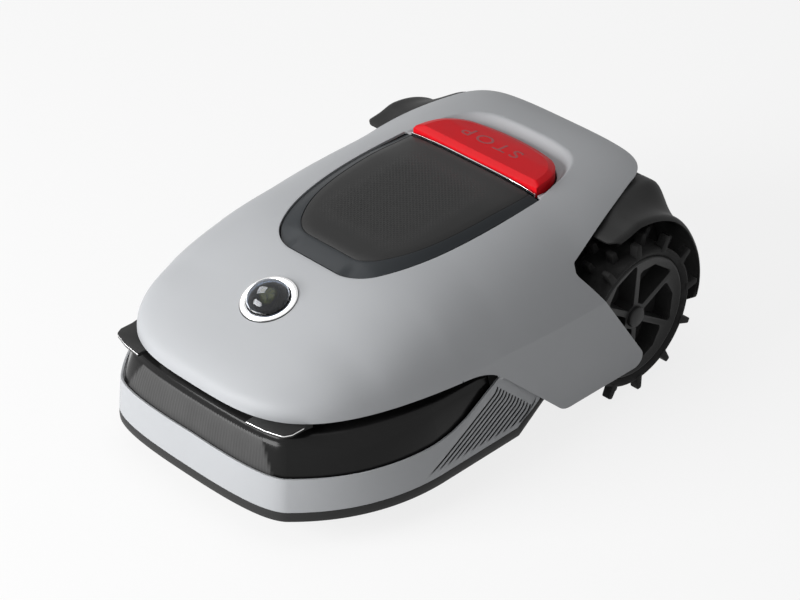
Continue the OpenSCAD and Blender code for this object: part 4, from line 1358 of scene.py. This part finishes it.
# %% Wheels
WHEEL_IN = 155.5
TYRE_WIDE = 58
RIM_R = 79
LUG_COUNT = 12
LUG_ROWS = 4
LUG_FIRST = 4
LUG_LONG = 11
LUG_SIDE = [(84, 5.2), (102.4, 3.5), (104, 2.4)]
TYRE_SIDE = [
    (RIM_R, 5), (82.5, 2.4), (86, 0.5), (88, 1.2), (89.2, 4), (90, 29), (89.2, 54), (88, 56.8), (86, 57.5),
    (82.5, 55.6), (RIM_R, 53), (RIM_R, 5),
]
RIM_SIDE = [
    (8, 20), (72, 20), (72, 6), (78.8, 5), (78.8, 53), (77.6, 54.6), (76, 55), (74.8, 54.4), (70, 51),
    (16, 50), (8, 50), (8, 20),
]
CAP_SIDE = [(0, 49), (13, 49), (13, 53), (12.6, 53.9), (11.4, 54.6), (10, 55), (0, 55.4)]
SPOKES = 6
SPOKE_TURN = -2
POCKET = [(17, 17), (54, 26), (57, 26), (60, 23), (67, 4), (70.5, -23), (70, -26), (67, -27), (17, -17)]
POCKET_FLOOR = 26
POCKET_TOP = 70
TREAD_INSET = 0.5
AXLE = np.array([1.0, 0, 0])
DOWN = np.array([0, 0, -1.0])
WHEEL = np.array([WHEEL_IN, WHEEL_Y, WHEEL_Z])


def wheel_turned(side, steps):
    return turned(side, steps, WHEEL, AXLE, DOWN)


def on_wheel(points):
    """Points drawn on the wheel's face, with the distance along the axle as third value."""
    across = np.cross(AXLE, DOWN)
    return WHEEL + points[:, :1] * DOWN + points[:, 1:2] * across + points[:, 2:] * AXLE


def turned_by(points, degrees):
    """Plan points turned about the origin."""
    a = math.radians(degrees)
    return np.asarray(points) @ np.array([(math.cos(a), math.sin(a)), (-math.sin(a), math.cos(a))])


lug_outline = np.array(LUG_SIDE + [(r, -w) for r, w in LUG_SIDE[::-1]])
row_starts = np.linspace(TREAD_INSET, TYRE_WIDE - TREAD_INSET - LUG_LONG, LUG_ROWS)
lugs = []
for row, row_start in enumerate(row_starts):
    for number in range(LUG_COUNT):
        turn = LUG_FIRST + (number + 0.5 * ((row + 1) % 2)) * 360 / LUG_COUNT
        lugs.append(prism(turned_by(lug_outline, turn), row_start, row_start + LUG_LONG, on_wheel))
pocket_line = np.array([(r * math.cos(math.radians(a)), r * math.sin(math.radians(a))) for r, a in POCKET])
pockets = [
    prism(turned_by(pocket_line, (k + 0.5) * 360 / SPOKES + SPOKE_TURN), POCKET_FLOOR, POCKET_TOP, on_wheel)
    for k in range(SPOKES)
]
tread = [wheel_turned(TYRE_SIDE, 144)] + lugs
for side in ("left", "right"):
    body = f"wheel_{side}"
    tyre = piece(
        f"tyre_skin_{side}", on_side(tread, side), tyre_rubber, body, "tyre_rubber",
        replaces=[f"tyre_{side}"], closed=True,
    )
    rounded(tyre, 0.7, angle=50)
    settle(tyre, sharp=50)
    rim = piece(
        f"rim_skin_{side}", on_side([wheel_turned(RIM_SIDE, 96)], side), rim_plastic, body, "rim_plastic",
        replaces=[f"rim_{side}"], closed=True,
    )
    carved(rim, on_side(pockets, side), round_edge=0.9)
    cap = piece(
        f"hub_button_{side}", on_side([wheel_turned(CAP_SIDE, 64)], side), rim_plastic, body, "rim_plastic",
        replaces=[f"hub_cap_{side}"], closed=True,
    )
    settle(cap, sharp=50)
print("wheels:", len(tyre.data.polygons) + len(rim.data.polygons), "faces each,", len(lugs), "lugs")

# %% [markdown]
# ## Pieces that keep their solid
# The other pieces already have their true form, so they keep it and only get a finish. A moulded or
# turned edge is never razor sharp, though, and a thin bevel on every edge lets it catch the light. The
# bevel is a modifier, so the solid itself isn't changed.


# %% Finishes for the carried-over solids
FINISHES = {
    "black_plastic": black_plastic, "strip_rubber": strip_rubber, "bright_metal": bright_metal,
    "core_plastic": core_plastic, "panel_plastic": panel_plastic, "start_green": start_green,
    "display_glass": display_glass, "tyre_rubber": tyre_rubber, "rim_plastic": rim_plastic, "steel": steel,
    "motor_case": motor_case, "board_green": board_green, "battery_case": battery_case,
}
TUB_EDGE = 1.0
FINE_EDGE = 0.3
slot_of = {part["node"]: part["material_slot"] for part in frame["record"]["subparts"]}


def soften(node, shown):
    """Weld the solid's faces and bevel its edges, with modifiers only."""
    weld = shown.modifiers.new("weld", "WELD")
    weld.merge_threshold = 0.005 * MM
    rounded(shown, TUB_EDGE if node == "chassis_tub" else FINE_EDGE, angle=30)
    normals = shown.modifiers.new("normals", "WEIGHTED_NORMAL")
    normals.keep_sharp = True


kept = 0
for node, shown in frame["nodes"].items():
    if shown.hide_render:
        continue
    shown.data.materials.clear()
    shown.data.materials.append(FINISHES[slot_of[node]])
    soften(node, shown)
    kept += 1
print("carried over:", kept, "solids")

# %% [markdown]
# ## Floor and light
# The picture was taken in a white studio: bright from the front, darker along the side that faces the
# camera. One big softbox in front does most of it, a weak one above and the room add a little. A third
# softbox is seen only in reflections, where it draws the pale bevels. The floor is nearly white to the
# camera, but keeps a part of its own shading, so the mower's shadow still shows on it.


# %% Floor and light
def area_light(name, place, aim, size, power):
    lamp = bpy.data.lights.new(name, "AREA")
    lamp.shape = "RECTANGLE"
    lamp.size, lamp.size_y = size
    lamp.energy = power
    shown = bpy.data.objects.new(name, lamp)
    bpy.context.scene.collection.objects.link(shown)
    shown.location = place
    shown.rotation_mode = "QUATERNION"
    shown.rotation_quaternion = (Vector(aim) - Vector(place)).to_track_quat("-Z", "Y")
    return shown


def seen_directly(start):
    """1 for rays that show the studio to the eye: straight, in a mirror or through glass."""
    rays = [start.node("ShaderNodeLightPath", output=k) for k in (0, 3, 6)]
    return start.math("MAXIMUM", start.math("MAXIMUM", rays[0], rays[1]), rays[2])


area_light("front_softbox", (-1.0, -2.9, 1.3), (0, 0, 0.1), (2.2, 1.4), 130)
area_light("top_softbox", (-0.4, -0.6, 3.0), (0, 0, 0), (2.5, 2.5), 14)
glint = area_light("left_glint", (-1.9, -0.4, 2.6), (0, 0.1, 0.2), (1.5, 1.5), 45)
glint.visible_diffuse = False

ROOM_LIGHT = 0.24
world = bpy.data.worlds.new("studio")
bpy.context.scene.world = world
world.use_nodes = True
room = seen_directly(Wire(world.node_tree))
background = world.node_tree.nodes["Background"]
background.inputs["Color"].default_value = grey(1)
world.node_tree.links.new((ROOM_LIGHT + room * (1 - ROOM_LIGHT)).socket, background.inputs["Strength"])

FLOOR_HALF = 6.0
FLOOR_Z = -0.0005
FLOOR_WHITE = 0.82
floor_mesh = bpy.data.meshes.new("studio_floor")
corners = [(-1, -1), (1, -1), (1, 1), (-1, 1)]
floor_mesh.from_pydata([(a * FLOOR_HALF, b * FLOOR_HALF, FLOOR_Z) for a, b in corners], [], [(0, 1, 2, 3)])
floor = bpy.data.objects.new("studio_floor", floor_mesh)
bpy.context.scene.collection.objects.link(floor)
floor_white, floor_shader, floor_start, floor_place = start_finish("floor_white", Specular_IOR_Level=0.0)
feed(floor_shader, Base_Color=noise(floor_start, floor_place, 900).mix(grey(0.86), grey(0.9)))
paper = floor_start.node("ShaderNodeEmission", None, {"Color": grey(1), "Strength": 1.0})
shaded = Wire(floor_white.node_tree, floor_shader.outputs[0])
white_share = seen_directly(floor_start) * FLOOR_WHITE
mixed = floor_start.node("ShaderNodeMixShader", None, {0: white_share, 1: shaded, 2: paper})
floor_out = floor_white.node_tree.nodes["Material Output"]
floor_white.node_tree.links.new(mixed.socket, floor_out.inputs["Surface"])
floor_mesh.materials.append(floor_white)

bpy.context.scene.view_settings.view_transform = "Standard"
print("studio: 3 softboxes, room light", ROOM_LIGHT, "and a floor", 2 * FLOOR_HALF, "m wide")
